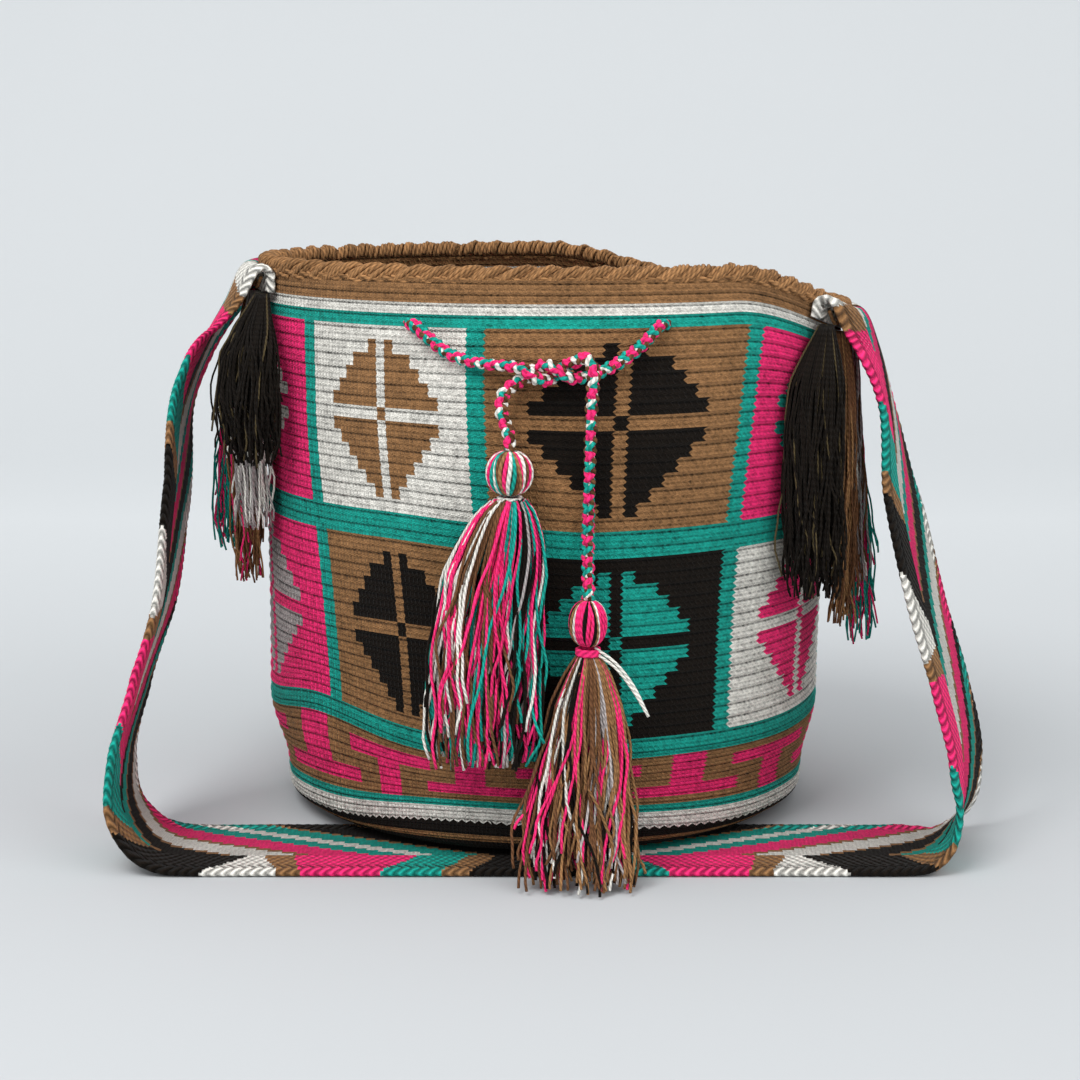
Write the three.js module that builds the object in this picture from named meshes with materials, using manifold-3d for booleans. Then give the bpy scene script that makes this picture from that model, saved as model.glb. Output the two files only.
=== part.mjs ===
// Crocheted bucket bag with a drawstring, a braided shoulder strap and yarn tassels.
// Millimetres, +Z up, front of the bag toward -Y. The bag stands on z = 0.
import * as THREE from "three";
import { mergeVertices } from "three/addons/utils/BufferGeometryUtils.js";
import Module from "manifold-3d";

const wasm = await Module();
wasm.setup();
const { Manifold, Mesh: SolidMesh } = wasm;

// Bag body.
const bodyRadius = 138.5; // outside radius of the belly
const bodyHeight = 271.5; // top of the crocheted wall at the front
const wallThick = 4; // thickness of the crocheted fabric
const baseRadius = 121; // edge of the flat base
const footRadius = 134.5; // outside radius just above the lower edge
const footHeight = 12; // height of the rounded lower edge
const bellyLow = 24; // height where the lower tuck ends
const bellyHigh = 58; // height where the belly is full
const gatherStart = 165; // height where the gathered mouth begins to narrow
const mouthHalfWidth = 144; // half width of the mouth, left to right
const mouthHalfDepth = 104; // half depth of the mouth, front to back
const mouthShift = 5; // the mouth leans to the right by this much
const mouthDrop = 22; // the right end of the mouth sags by this much
const shellColumns = 72;

// Shoulder strap.
const strapWidth = 74;
const strapThick = 3.5;
const strapFloorY = -113.5; // middle of the strap where it lies on the floor
const strapRightTurn = 19; // degrees that the right side turns to the front

// Drawstring, eyelets and tassels.
const cordDiameter = 6.3;
const eyeletRadius = 4.6;
const eyeletHeight = 248;
const eyeletSlant = 44; // degrees between the drawstring in its eyelet and the wall's normal
const gap = 0.35; // clear space between pieces that touch

// Edging of the mouth.
const edgingHeight = 6;
const edgingWidth = 6.4;
const edgingLobes = 64;
const edgingDepth = 0.9; // how far the scallops cut in

const smooth = (lo, hi, v) => {
  const t = Math.min(1, Math.max(0, (v - lo) / (hi - lo)));
  return t * t * (3 - 2 * t);
};

const rad = (deg) => (deg * Math.PI) / 180;

// How far the front of the base is lifted where it sits on the strap.
const strapFront = strapFloorY - strapWidth / 2;
const strapBack = strapFloorY + strapWidth / 2;
const liftHeight = strapThick + 1.3;
const liftEnd = strapBack + 10;
const liftStart = strapBack + 22;
const frontLift = (y) => liftHeight * (1 - smooth(liftEnd, liftStart, y));

// Outside half width and half depth of the bag at a height.
const mouthShare = (z) => {
  const t = Math.max(0, (z - gatherStart) / (bodyHeight - gatherStart));
  return t * t;
};
const bellyRadius = (z) => {
  if (z < footHeight) {
    const t = 1 - z / footHeight;
    return baseRadius + (footRadius - baseRadius) * Math.sqrt(1 - t * t);
  }
  return footRadius + (bodyRadius - footRadius) * smooth(bellyLow, bellyHigh, z);
};
const halfWidth = (z) => bellyRadius(z) + (mouthHalfWidth - bodyRadius) * mouthShare(z);
const halfDepth = (z) => bellyRadius(z) + (mouthHalfDepth - bodyRadius) * mouthShare(z);

// A point on the bag, at an angle from the front, a height and a distance inside the skin.
const bagPoint = (angle, z, inset = 0) => {
  const nx = Math.sin(angle) / halfWidth(z);
  const ny = -Math.cos(angle) / halfDepth(z);
  const n = Math.hypot(nx, ny);
  const x = Math.sin(angle) * halfWidth(z) - (nx / n) * inset + mouthShift * mouthShare(z);
  const y = -Math.cos(angle) * halfDepth(z) - (ny / n) * inset;
  const droop = mouthDrop * smooth(45, 150, x + 0.45 * y) * smooth(150, bodyHeight, z);
  const lift = frontLift(y) * (1 - smooth(footHeight, 4 * footHeight, z));
  return new THREE.Vector3(x, y, z - droop + lift);
};

// A closed body from rings of points. Its ends are fans, or strips for a ring that goes up one
// side of a thin bent sheet and back down the other.
const loftRings = (rings, strips = false) => {
  const points = [];
  const index = [];
  const count = rings[0].length;
  for (const ring of rings) {
    for (const p of ring) points.push(p.x, p.y, p.z);
  }
  for (let i = 0; i + 1 < rings.length; i += 1) {
    for (let j = 0; j < count; j += 1) {
      const k = (j + 1) % count;
      const a = i * count + j;
      const b = i * count + k;
      const c = (i + 1) * count + k;
      const d = (i + 1) * count + j;
      index.push(a, b, c, a, c, d);
    }
  }
  const addStrip = (start, flip) => {
    for (let j = 0; j + 1 < count / 2; j += 1) {
      const a = start + j;
      const b = start + j + 1;
      const c = start + count - 2 - j;
      const d = start + count - 1 - j;
      if (flip) index.push(a, c, b, a, d, c);
      else index.push(a, b, c, a, c, d);
    }
  };
  const addEnd = (start, flip) => {
    if (strips) {
      addStrip(start, flip);
      return;
    }
    const centre = new THREE.Vector3();
    for (let j = 0; j < count; j += 1) {
      centre.add(new THREE.Vector3().fromArray(points, 3 * (start + j)));
    }
    centre.divideScalar(count);
    const middle = points.length / 3;
    points.push(centre.x, centre.y, centre.z);
    for (let j = 0; j < count; j += 1) {
      const k = (j + 1) % count;
      if (flip) index.push(middle, start + k, start + j);
      else index.push(middle, start + j, start + k);
    }
  };
  addEnd(0, true);
  addEnd((rings.length - 1) * count, false);
  const geometry = new THREE.BufferGeometry();
  geometry.setAttribute("position", new THREE.Float32BufferAttribute(points, 3));
  geometry.setIndex(index);
  return geometry;
};

const toSolid = (geometry) => {
  const bare = new THREE.BufferGeometry();
  bare.setAttribute("position", geometry.getAttribute("position"));
  if (geometry.index) bare.setIndex(geometry.index);
  const merged = mergeVertices(bare, 1e-4);
  return new Manifold(new SolidMesh({
    numProp: 3,
    vertProperties: Float32Array.from(merged.getAttribute("position").array),
    triVerts: Uint32Array.from(merged.index.array),
  }));
};

const toGeometry = (solid) => {
  const mesh = solid.getMesh();
  const geometry = new THREE.BufferGeometry();
  const points = [];
  for (let i = 0; i < mesh.vertProperties.length; i += mesh.numProp) {
    points.push(...mesh.vertProperties.slice(i, i + 3));
  }
  geometry.setAttribute("position", new THREE.Float32BufferAttribute(points, 3));
  geometry.setIndex(Array.from(mesh.triVerts));
  return geometry;
};

const group = new THREE.Group();
const addPiece = (name, geometry, color, roughness = 0.9) => {
  geometry.computeVertexNormals();
  const material = new THREE.MeshStandardMaterial({ color, roughness, metalness: 0 });
  const piece = new THREE.Mesh(geometry, material);
  piece.name = name;
  group.add(piece);
};

const tan = 0xaa825a;
const pink = 0xf04b87;
const teal = 0x23a58c;
const dark = 0x231c16;
const cream = 0xd7d3c8;

// The crocheted shell: up the outside, over the top and down the inside.
const ringAt = (z, inset, scale = 1) => {
  const ring = [];
  for (let j = 0; j < shellColumns; j += 1) {
    const p = bagPoint((2 * Math.PI * j) / shellColumns, z, inset);
    if (scale !== 1) {
      p.x *= scale;
      p.y *= scale;
      p.z = (inset > 0 ? wallThick : 0) + frontLift(p.y);
    }
    ring.push(p);
  }
  return ring;
};
const baseScales = [0.44, 0.56, 0.66, 0.78, 0.9];
const footSteps = [0, 2, 6, footHeight];
const wallSteps = [bellyLow, 41, bellyHigh, 110, gatherStart, 190, 215, 238, 256, bodyHeight];
const shellRings = [];
for (const s of baseScales) shellRings.push(ringAt(0, 0, s));
for (const z of [...footSteps, ...wallSteps]) shellRings.push(ringAt(z, 0));
for (const z of [...wallSteps].reverse()) shellRings.push(ringAt(z, wallThick));
shellRings.push(ringAt(footHeight, wallThick));
shellRings.push(ringAt(wallThick + 3, wallThick));
for (const s of [1.07, ...[...baseScales].reverse()]) shellRings.push(ringAt(0, wallThick, s));

// Eyelets: the drawstring slants through the wall at each of these angles.
// A positive side means that the cord leaves the bag in the direction of growing angle.
const eyelets = [
  { name: "front_left", angle: -28, side: 1 },
  { name: "front_right", angle: 22, side: -1 },
  { name: "back_right_a", angle: 112, side: 1 },
  { name: "back_right_b", angle: 156, side: -1 },
  { name: "back_left_b", angle: -156, side: 1 },
  { name: "back_left_a", angle: -112, side: -1 },
];
const outward = (angle) => {
  const a = bagPoint(angle, eyeletHeight, 0);
  const b = bagPoint(angle, eyeletHeight, wallThick);
  return a.sub(b).normalize();
};
const along = (angle) => {
  const a = bagPoint(angle - 0.01, eyeletHeight, 0);
  const b = bagPoint(angle + 0.01, eyeletHeight, 0);
  return b.sub(a).normalize();
};
// A point on the slanted line of an eyelet, at a distance outside the middle of the wall.
const eyeletPoint = (eyelet, out) => {
  const angle = rad(eyelet.angle);
  const middle = bagPoint(angle, eyeletHeight, wallThick / 2);
  const line = outward(angle).multiplyScalar(Math.cos(rad(eyeletSlant)));
  line.addScaledVector(along(angle), Math.sin(rad(eyeletSlant)) * eyelet.side);
  return middle.add(line.multiplyScalar(out));
};
let shell = toSolid(loftRings(shellRings));
for (const eyelet of eyelets) {
  const from = eyeletPoint(eyelet, -16);
  const to = eyeletPoint(eyelet, 16);
  const drill = new THREE.CylinderGeometry(eyeletRadius, eyeletRadius, from.distanceTo(to), 16);
  const turn = new THREE.Quaternion();
  turn.setFromUnitVectors(new THREE.Vector3(0, 1, 0), to.clone().sub(from).normalize());
  drill.applyQuaternion(turn);
  const middle = from.clone().add(to).multiplyScalar(0.5);
  drill.translate(middle.x, middle.y, middle.z);
  shell = shell.subtract(toSolid(drill));
}
addPiece("bag_shell", toGeometry(shell), tan);

// The scalloped edging that is crocheted along the top of the wall.
const edgingSteps = edgingLobes * 3;
const edgingSides = 8;
const edgingGeometry = () => {
  const points = [];
  const index = [];
  for (let i = 0; i < edgingSteps; i += 1) {
    const angle = (2 * Math.PI * i) / edgingSteps;
    const foot = bagPoint(angle, bodyHeight, wallThick / 2);
    const out = bagPoint(angle, bodyHeight, 0).sub(bagPoint(angle, bodyHeight, wallThick));
    out.z = 0;
    out.normalize();
    const swell = 1 - (edgingDepth / edgingHeight) * (i % 3 === 0 ? 1 : 0);
    for (let j = 0; j < edgingSides; j += 1) {
      const t = (2 * Math.PI * (j + 0.5)) / edgingSides;
      const p = foot.clone().addScaledVector(out, (Math.cos(t) * edgingWidth * swell) / 2);
      p.z += gap + edgingHeight / 2 + (Math.sin(t) * edgingHeight * swell) / 2;
      points.push(p.x, p.y, p.z);
    }
  }
  for (let i = 0; i < edgingSteps; i += 1) {
    const next = (i + 1) % edgingSteps;
    for (let j = 0; j < edgingSides; j += 1) {
      const k = (j + 1) % edgingSides;
      const a = i * edgingSides + j;
      const b = i * edgingSides + k;
      const c = next * edgingSides + k;
      const d = next * edgingSides + j;
      index.push(a, c, b, a, d, c);
    }
  }
  const geometry = new THREE.BufferGeometry();
  geometry.setAttribute("position", new THREE.Float32BufferAttribute(points, 3));
  geometry.setIndex(index);
  return geometry;
};
const fixWinding = (geometry) => {
  const p = geometry.getAttribute("position");
  const ids = geometry.index.array;
  let volume = 0;
  const a = new THREE.Vector3();
  const b = new THREE.Vector3();
  const c = new THREE.Vector3();
  for (let i = 0; i < ids.length; i += 3) {
    a.fromBufferAttribute(p, ids[i]);
    b.fromBufferAttribute(p, ids[i + 1]);
    c.fromBufferAttribute(p, ids[i + 2]);
    volume += a.dot(b.cross(c));
  }
  if (volume < 0) {
    const turned = [];
    for (let i = 0; i < ids.length; i += 3) turned.push(ids[i], ids[i + 2], ids[i + 1]);
    geometry.setIndex(turned);
  }
  return geometry;
};
addPiece("rim_edging", fixWinding(edgingGeometry()), tan);

// The strap: a flat braid that runs from the left end of the mouth to the floor, along the
// floor under the front of the bag, and up to the right end of the mouth.
const strapSeat = gap + 0.45; // clear space between the sewn end and the wall
const strapEndTop = 6; // distance from the top of the wall down to the sewn part
const strapSewn = 8; // height of the sewn part
const strapEndAngle = { left: -88, right: 78 };
const strapAcross = 8;
// One cross-section of the sewn part, which follows the curve of the wall.
const sewnRing = (endAngle, down, side) => {
  const ring = [];
  for (let j = 0; j <= strapAcross; j += 1) {
    const s = (2 * j) / strapAcross - 1;
    const turn = Math.asin((s * strapWidth) / 2 / mouthHalfDepth);
    const angle = rad(endAngle) + side * turn;
    const z = bodyHeight - down;
    ring.push(bagPoint(angle, z, -(strapSeat + strapThick)));
    ring.unshift(bagPoint(angle, z, -strapSeat));
  }
  return ring;
};
const endPoint = (endAngle, down, out = 0) =>
  bagPoint(rad(endAngle), bodyHeight - down, -(strapSeat + strapThick / 2 + out));
const leftRun = [
  [-156.5, -6, 252], [-168, -14, 230], [-176, -30, 203], [-178, -55, 158],
  [-182, -76, 113], [-192, -90, 76], [-199, -102, 44], [-197, -109, 22], [-187, -112.6, 8],
  [-177, -113.4, 3], [-164, strapFloorY, strapThick / 2],
];
const rightRun = [
  [161, -22, 232], [165, -30, 216], [168, -38, 198], [173, -54, 160],
  [182, -76, 113], [192, -90, 76], [198, -102, 44], [196, -109, 22], [187, -112.6, 8],
  [178, -113.4, 3], [165, strapFloorY, strapThick / 2],
];
const floorRun = [-130, -80, -30, 30, 80, 130].map((x) => [x, strapFloorY, strapThick / 2]);
const toVector = (p) => (p.isVector3 ? p : new THREE.Vector3(...p));
const over = (endAngle) => [
  endPoint(endAngle, strapEndTop), endPoint(endAngle, 3.2, 1.6), endPoint(endAngle, 2.6, 5.4),
  endPoint(endAngle, 5.5, 8.8),
];
const strapPath = new THREE.CatmullRomCurve3([
  ...over(strapEndAngle.left), ...leftRun, ...floorRun,
  ...[...rightRun].reverse(), ...over(strapEndAngle.right).reverse(),
].map(toVector), false, "centripetal");
const strapStations = 74;
const strapLength = strapPath.getLength();
const strapPlaces = [];
for (let d = 1.7; d < 14; d += 1.7) strapPlaces.push(d / strapLength);
for (let i = 0; i <= strapStations; i += 1) {
  strapPlaces.push((15.5 + ((strapLength - 31) * i) / strapStations) / strapLength);
}
for (let d = 13.6; d > 1; d -= 1.7) strapPlaces.push(1 - d / strapLength);
const sewnSteps = [strapEndTop + strapSewn, strapEndTop + strapSewn / 2, strapEndTop];
const strapRings = sewnSteps.map((down) => sewnRing(strapEndAngle.left, down, -1));
// How far each place across a sewn end lies from its middle.
const sewnOffsets = (endAngle, side) => {
  const ring = sewnRing(endAngle, strapEndTop, side);
  const middles = [];
  for (let j = 0; j <= strapAcross; j += 1) {
    middles.push(ring[strapAcross - j].clone().lerp(ring[strapAcross + 1 + j], 0.5));
  }
  return middles.map((p) => p.clone().sub(middles[strapAcross / 2]));
};
const endOffsets = {
  left: sewnOffsets(strapEndAngle.left, -1),
  right: sewnOffsets(strapEndAngle.right, 1),
};
for (const t of strapPlaces) {
  const centre = strapPath.getPointAt(t);
  const tangent = strapPath.getTangentAt(t).normalize();
  const end = Math.min(t, 1 - t);
  const side = t < 0.5 ? -1 : 1;
  // On the right the strap turns partly to the front between its end and the floor.
  const turned = t > 0.5 ? smooth(0.03, 0.12, end) * (1 - smooth(0.26, 0.33, end)) : 0;
  // Near its ends the braid lies along the mouth.
  const endAngle = side < 0 ? strapEndAngle.left + 90 : strapEndAngle.right - 90;
  const atEnd = 1 - smooth(0.02, 0.1, end);
  const turn = rad(strapRightTurn) * turned - rad(endAngle) * atEnd;
  const width = new THREE.Vector3(Math.sin(turn), Math.cos(turn), 0);
  width.addScaledVector(tangent, -width.dot(tangent)).normalize();
  const face = new THREE.Vector3().crossVectors(tangent, width).normalize();
  const sewnShare = 1 - smooth(0.012, 0.08, end);
  const ring = [];
  for (let j = 0; j <= strapAcross; j += 1) {
    const s = (2 * j) / strapAcross - 1;
    const p = centre.clone().addScaledVector(width, (s * strapWidth) / 2);
    p.lerp(centre.clone().add(endOffsets[side < 0 ? "left" : "right"][j]), sewnShare);
    ring.push(p.clone().addScaledVector(face, strapThick / 2));
    ring.unshift(p.clone().addScaledVector(face, -strapThick / 2));
  }
  for (const p of ring) p.z = Math.max(p.z, 0);
  strapRings.push(ring);
}
for (const down of [...sewnSteps].reverse()) {
  strapRings.push(sewnRing(strapEndAngle.right, down, 1));
}
addPiece("strap", fixWinding(loftRings(strapRings, true)), cream);

// Round cord along a path.
const cordSection = (radius, sides) => {
  const shape = new THREE.Shape();
  for (let j = 0; j < sides; j += 1) {
    const t = (2 * Math.PI * j) / sides;
    const x = radius * Math.cos(t);
    const y = radius * Math.sin(t);
    if (j === 0) shape.moveTo(x, y);
    else shape.lineTo(x, y);
  }
  shape.closePath();
  return shape;
};
const tubeAlong = (points, diameter, steps, sides = 10) => {
  const path = new THREE.CatmullRomCurve3(points.map(toVector), false, "centripetal");
  return new THREE.ExtrudeGeometry(cordSection(diameter / 2, sides), {
    steps, extrudePath: path, bevelEnabled: false, curveSegments: 1,
  });
};

// The sewing yarn that holds each end of the strap to the mouth, in one zigzag seam.
const seamDiameter = 1.8;
const seamZigzags = 9;
const seamHeight = 5;
const seamShare = 0.8; // share of the strap's width that the seam crosses
const seamRun = (endAngle, side) => {
  const points = [];
  const depth = strapSeat + strapThick + gap + 0.4 + seamDiameter / 2;
  for (let i = 0; i <= seamZigzags; i += 1) {
    const s = seamShare * ((2 * i) / seamZigzags - 1);
    const turn = Math.asin((s * strapWidth) / 2 / mouthHalfDepth);
    const down = strapEndTop + 1.2 + (i % 2 === 0 ? 0 : seamHeight);
    points.push(bagPoint(rad(endAngle) + side * turn, bodyHeight - down, -depth));
  }
  return points;
};

// The part of the drawstring that the bag holds: inside, and outside between the back eyelets.
const cordClear = cordDiameter / 2 + gap + 0.4;
const insideClear = wallThick + cordClear;
const throughReach = (wallThick / 2 + cordClear) / Math.cos(rad(eyeletSlant));
const endReach = (wallThick / 2 + 1.3) / Math.cos(rad(eyeletSlant));
const heldRun = () => {
  const points = [];
  const through = (eyelet, outwards) => {
    const sign = outwards ? 1 : -1;
    points.push(eyeletPoint(eyelet, -sign * throughReach));
    points.push(eyeletPoint(eyelet, 0));
    points.push(eyeletPoint(eyelet, sign * throughReach));
  };
  const arc = (from, to, inset) => {
    const steps = Math.max(1, Math.round(Math.abs(to - from) / 12));
    for (let i = 0; i <= steps; i += 1) {
      const angle = from + ((to - from) * i) / steps;
      points.push(bagPoint(rad(angle), eyeletHeight, inset));
    }
  };
  const [frontLeft, frontRight, backRightA, backRightB, backLeftB, backLeftA] = eyelets;
  points.push(eyeletPoint(frontLeft, endReach), eyeletPoint(frontLeft, -throughReach));
  arc(frontLeft.angle - 11, backLeftA.angle + 11, insideClear);
  through(backLeftA, true);
  arc(backLeftA.angle - 11, backLeftB.angle + 11, -cordClear);
  through(backLeftB, false);
  arc(backLeftB.angle - 11, backRightB.angle - 360 + 11, insideClear);
  through(backRightB, true);
  arc(backRightB.angle - 360 - 11, backRightA.angle - 360 + 11, -cordClear);
  through(backRightA, false);
  arc(backRightA.angle - 360 - 11, frontRight.angle - 360 + 11, insideClear);
  points.push(eyeletPoint(frontRight, -throughReach), eyeletPoint(frontRight, endReach));
  return points;
};
addPiece("drawstring_in_rim", tubeAlong(heldRun(), cordDiameter, 80, 8), pink);

// The two free ends of the drawstring. They twist once round each other in a half knot.
const freeStart = (eyelet) => [
  eyeletPoint(eyelet, endReach + gap),
  eyeletPoint(eyelet, throughReach + 1),
];
const knotTurns = 1;
const knotRadius = (cordDiameter + gap) / 2 + 0.25;
const knotLeft = new THREE.Vector3(-13, -135.2, 228);
const knotRight = new THREE.Vector3(13, -135.2, 230);
const knotPoints = (phase) => {
  const points = [];
  const steps = 7;
  for (let i = 0; i <= steps; i += 1) {
    const t = i / steps;
    const turn = phase + 2 * Math.PI * knotTurns * t;
    const p = knotLeft.clone().lerp(knotRight, t);
    p.y += knotRadius * Math.cos(turn);
    p.z += knotRadius * Math.sin(turn);
    points.push(p);
  }
  return points;
};
const frontSkin = bodyRadius; // the belly reaches this far to the front
const hangY = -(frontSkin + cordDiameter / 2 + gap + 0.6);
const headLeft = { x: -16, y: hangY - 5.5, z: 186, radius: 10.4, high: 19.5 };
const headRight = { x: 19, y: hangY - 5.5, z: 118, radius: 8.6, high: 21 };
const headTop = (head) => head.z + head.high / 2 + gap;
const cordLeftToRight = [
  ...freeStart(eyelets[0]),
  [-43, -122, 236], [-28, -129.5, 232.5], ...knotPoints(Math.PI / 2),
  [18, -139.5, 236], [21, -144, 230], [20.5, -144.5, 219], [20, hangY - 0.6, 205],
  [19.5, hangY, 180], [19, hangY - 0.5, 158], [19, hangY - 3.5, 142],
  [headRight.x, headRight.y, headTop(headRight) + 5], [headRight.x, headRight.y, headTop(headRight)],
];
const cordRightToLeft = [
  ...freeStart(eyelets[1]),
  [41, -124, 238], [27, -130.5, 230], ...knotPoints(-Math.PI / 2).reverse(),
  [-18.5, -138, 220], [-19.5, -142.5, 212], [-17, hangY - 2.5, 205],
  [headLeft.x, headLeft.y, headTop(headLeft) + 5], [headLeft.x, headLeft.y, headTop(headLeft)],
];
addPiece("drawstring_end_long", tubeAlong(cordLeftToRight, cordDiameter, 64, 8), pink);
addPiece("drawstring_end_short", tubeAlong(cordRightToLeft, cordDiameter, 46, 8), teal);

// Tassels of the drawstring: a wound head, the binding round its neck and the skirt of yarn.
const headGeometry = (head) => {
  const profile = [];
  const steps = 8;
  for (let i = 0; i <= steps; i += 1) {
    const t = (Math.PI * i) / steps - Math.PI / 2;
    const r = Math.cos(t) ** 0.8 * head.radius;
    const z = (Math.sin(t) * head.high) / 2;
    profile.push(new THREE.Vector2(i === 0 || i === steps ? 0 : r, z));
  }
  const geometry = new THREE.LatheGeometry(profile, 20);
  geometry.rotateX(Math.PI / 2);
  geometry.translate(head.x, head.y, head.z);
  return toGeometry(toSolid(fixWinding(mergeVertices(stripped(geometry), 1e-4))));
};
const stripped = (geometry) => {
  const bare = new THREE.BufferGeometry();
  bare.setAttribute("position", geometry.getAttribute("position"));
  bare.setIndex(geometry.index);
  return bare;
};
// A bundle of yarn from level ellipses: [x, y, z, half width, half depth].
const bundleGeometry = (stations, sides = 14) => {
  const rings = stations.map(([x, y, z, across, deep]) => {
    const ring = [];
    for (let j = 0; j < sides; j += 1) {
      const t = (2 * Math.PI * j) / sides;
      ring.push(new THREE.Vector3(x + across * Math.cos(t), y + deep * Math.sin(t), z));
    }
    return ring;
  });
  return fixWinding(loftRings(rings));
};
const neckHigh = 6;
const neckRadius = 5.2;
const neckTop = (head) => head.z - head.high / 2 - gap;
const neckGeometry = (head) => {
  const z = neckTop(head) - neckHigh / 2;
  const ring = new THREE.CylinderGeometry(neckRadius, neckRadius, neckHigh, 18);
  ring.rotateX(Math.PI / 2);
  ring.translate(head.x, head.y, z);
  return toGeometry(toSolid(ring));
};
const skirtTop = (head) => neckTop(head) - neckHigh - gap;
const zl = skirtTop(headLeft);
const zr = skirtTop(headRight);
const skirtLeft = [
  [headLeft.x, headLeft.y, zl, 6.5, 6], [-17, -149.5, zl - 8, 13.5, 8],
  [-21, -150.5, zl - 24, 19, 9.5], [-26, -151, 129, 24, 10], [-27, -151.5, 95, 25, 10.5],
  [-28, -151.5, 64, 25, 10], [-28, -151.5, 55, 22, 8],
];
const skirtRight = [
  [headRight.x, headRight.y, zr, 6, 5.8], [19, -150, zr - 8, 10, 7.5],
  [19, -151.5, zr - 26, 16, 9], [17, -153.5, 54, 21.5, 9.5], [14.5, -159, 28, 25, 10.5],
  [14.5, -167, 11, 26, 9.5], [14.5, -172, 1.5, 25, 11], [14.5, -172.5, 0.2, 22, 9],
];
addPiece("tassel_head_left", headGeometry(headLeft), teal);
addPiece("tassel_neck_left", neckGeometry(headLeft), cream);
addPiece("tassel_skirt_left", bundleGeometry(skirtLeft, 20), pink);
addPiece("tassel_head_right", headGeometry(headRight), pink);
addPiece("tassel_neck_right", neckGeometry(headRight), pink);
addPiece("tassel_skirt_right", bundleGeometry(skirtRight, 20), tan);

// The yarn ends of the strap hang from its sewn ends in bundles. The share places a bundle
// along the end, from -1 at the front to 1 at the back, and the stations are offsets from
// there: [across, back, up, half width, half depth], with up counted from the strap's end.
const fringeTop = (endAngle, side, share) => {
  const turn = Math.asin((share * strapWidth) / 2 / mouthHalfDepth);
  const down = strapEndTop + strapSewn;
  const p = bagPoint(rad(endAngle) + side * turn, bodyHeight - down, -(strapSeat + 3.5));
  p.z -= gap + 0.55;
  return p;
};
const bundles = [
  ["fringe_left_dark", dark, -1, -0.82, [
    [-1, -3, 0, 4, 5], [-3, -20, -13, 10, 7], [-4, -34, -26, 15, 8],
    [-4, -42, -48, 17, 8.5], [-3, -43, -66, 16, 8], [-3, -43, -78, 13, 6],
  ]],
  ["fringe_left_grey", 0x9a9b99, -1, -0.45, [
    [-1, 0, 0, 4, 5], [-2, -14, -20, 6, 7], [-2, -27, -44, 7.5, 8],
    [-1, -35, -74, 9, 9], [0, -38, -100, 9, 8], [0, -38, -111, 7, 6],
  ]],
  ["fringe_left_brown", 0x7d6045, -1, -0.05, [
    [-1, 0, 0, 4, 5], [-4, -9, -20, 6, 6.5], [-5, -21, -50, 7, 7],
    [-4, -29, -84, 8, 7.5], [-3, -34, -120, 8, 7.5], [-2, -36, -141, 6, 5],
  ]],
  ["fringe_left_bright", teal, -1, 0.36, [
    [-1, 0, 0, 4, 5], [-7, -8, -22, 6, 6], [-11, -18, -50, 7, 7],
    [-14, -26, -84, 8, 7.5], [-15, -29, -114, 8.5, 8], [-15, -29, -129, 6.5, 6],
  ]],
  ["fringe_right_dark", dark, 1, -0.82, [
    [1, -3, 0, 4, 5], [-2, -14, -12, 9, 7], [-5, -25, -26, 13.5, 8.5],
    [-7, -33, -50, 15, 9], [-7, -37, -82, 15, 9], [-6.5, -38, -112, 14, 8],
    [-6, -38, -126, 11, 6],
  ]],
  ["fringe_right_brown", 0x7d6045, 1, -0.42, [
    [1, -1, -0.3, 4, 4.2], [2, -10, -16, 5, 5], [2, -20, -38, 5, 6],
    [1, -28, -66, 5.5, 7], [0.5, -33, -100, 6, 7.5], [0, -35, -138, 5, 5.5],
  ]],
  ["fringe_right_grey", 0x9a9b99, 1, -0.02, [
    [1, 0, 0, 4, 4.5], [1.5, -8, -18, 4.5, 5], [1.5, -17, -42, 5, 6.5],
    [1.5, -25, -74, 6, 7], [2, -29, -102, 6, 7], [2.5, -30, -118, 5, 5.5],
  ]],
  ["fringe_right_bright", teal, 1, 0.38, [
    [1, 0, 0, 4, 4.5], [1.5, -3, -20, 4.5, 5], [2, -9, -48, 5.5, 6.5],
    [3, -17, -80, 7, 7.5], [5, -23, -114, 7.5, 8], [6, -26, -142, 7, 7], [6.5, -26.5, -152, 5, 5],
  ]],
];
for (const [name, color, side, share, stations] of bundles) {
  const top = fringeTop(side < 0 ? strapEndAngle.left : strapEndAngle.right, side, share);
  const placed = stations.map(([x, y, z, across, deep]) => [
    top.x + x, top.y + y, top.z + z, across, deep,
  ]);
  addPiece(name, bundleGeometry(placed), color);
}
addPiece("strap_seam_left", tubeAlong(seamRun(strapEndAngle.left, -1), seamDiameter, 27, 6), tan);
addPiece("strap_seam_right", tubeAlong(seamRun(strapEndAngle.right, 1), seamDiameter, 27, 6), tan);

export default group;
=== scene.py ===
import math
import random

import bmesh
import bpy
import numpy as np
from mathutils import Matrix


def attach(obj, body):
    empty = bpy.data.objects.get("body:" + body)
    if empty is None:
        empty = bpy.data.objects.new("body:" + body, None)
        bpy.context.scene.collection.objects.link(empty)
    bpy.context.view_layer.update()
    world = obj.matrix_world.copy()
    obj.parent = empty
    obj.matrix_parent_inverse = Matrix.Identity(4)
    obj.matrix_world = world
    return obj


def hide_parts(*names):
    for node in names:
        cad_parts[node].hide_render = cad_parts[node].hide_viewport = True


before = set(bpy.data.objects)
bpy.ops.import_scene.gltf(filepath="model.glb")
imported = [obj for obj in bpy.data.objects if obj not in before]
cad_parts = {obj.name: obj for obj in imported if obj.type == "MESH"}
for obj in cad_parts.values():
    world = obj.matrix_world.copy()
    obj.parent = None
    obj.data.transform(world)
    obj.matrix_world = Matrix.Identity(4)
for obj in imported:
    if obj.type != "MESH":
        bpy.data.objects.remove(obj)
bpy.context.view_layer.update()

MM = 0.001

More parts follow.
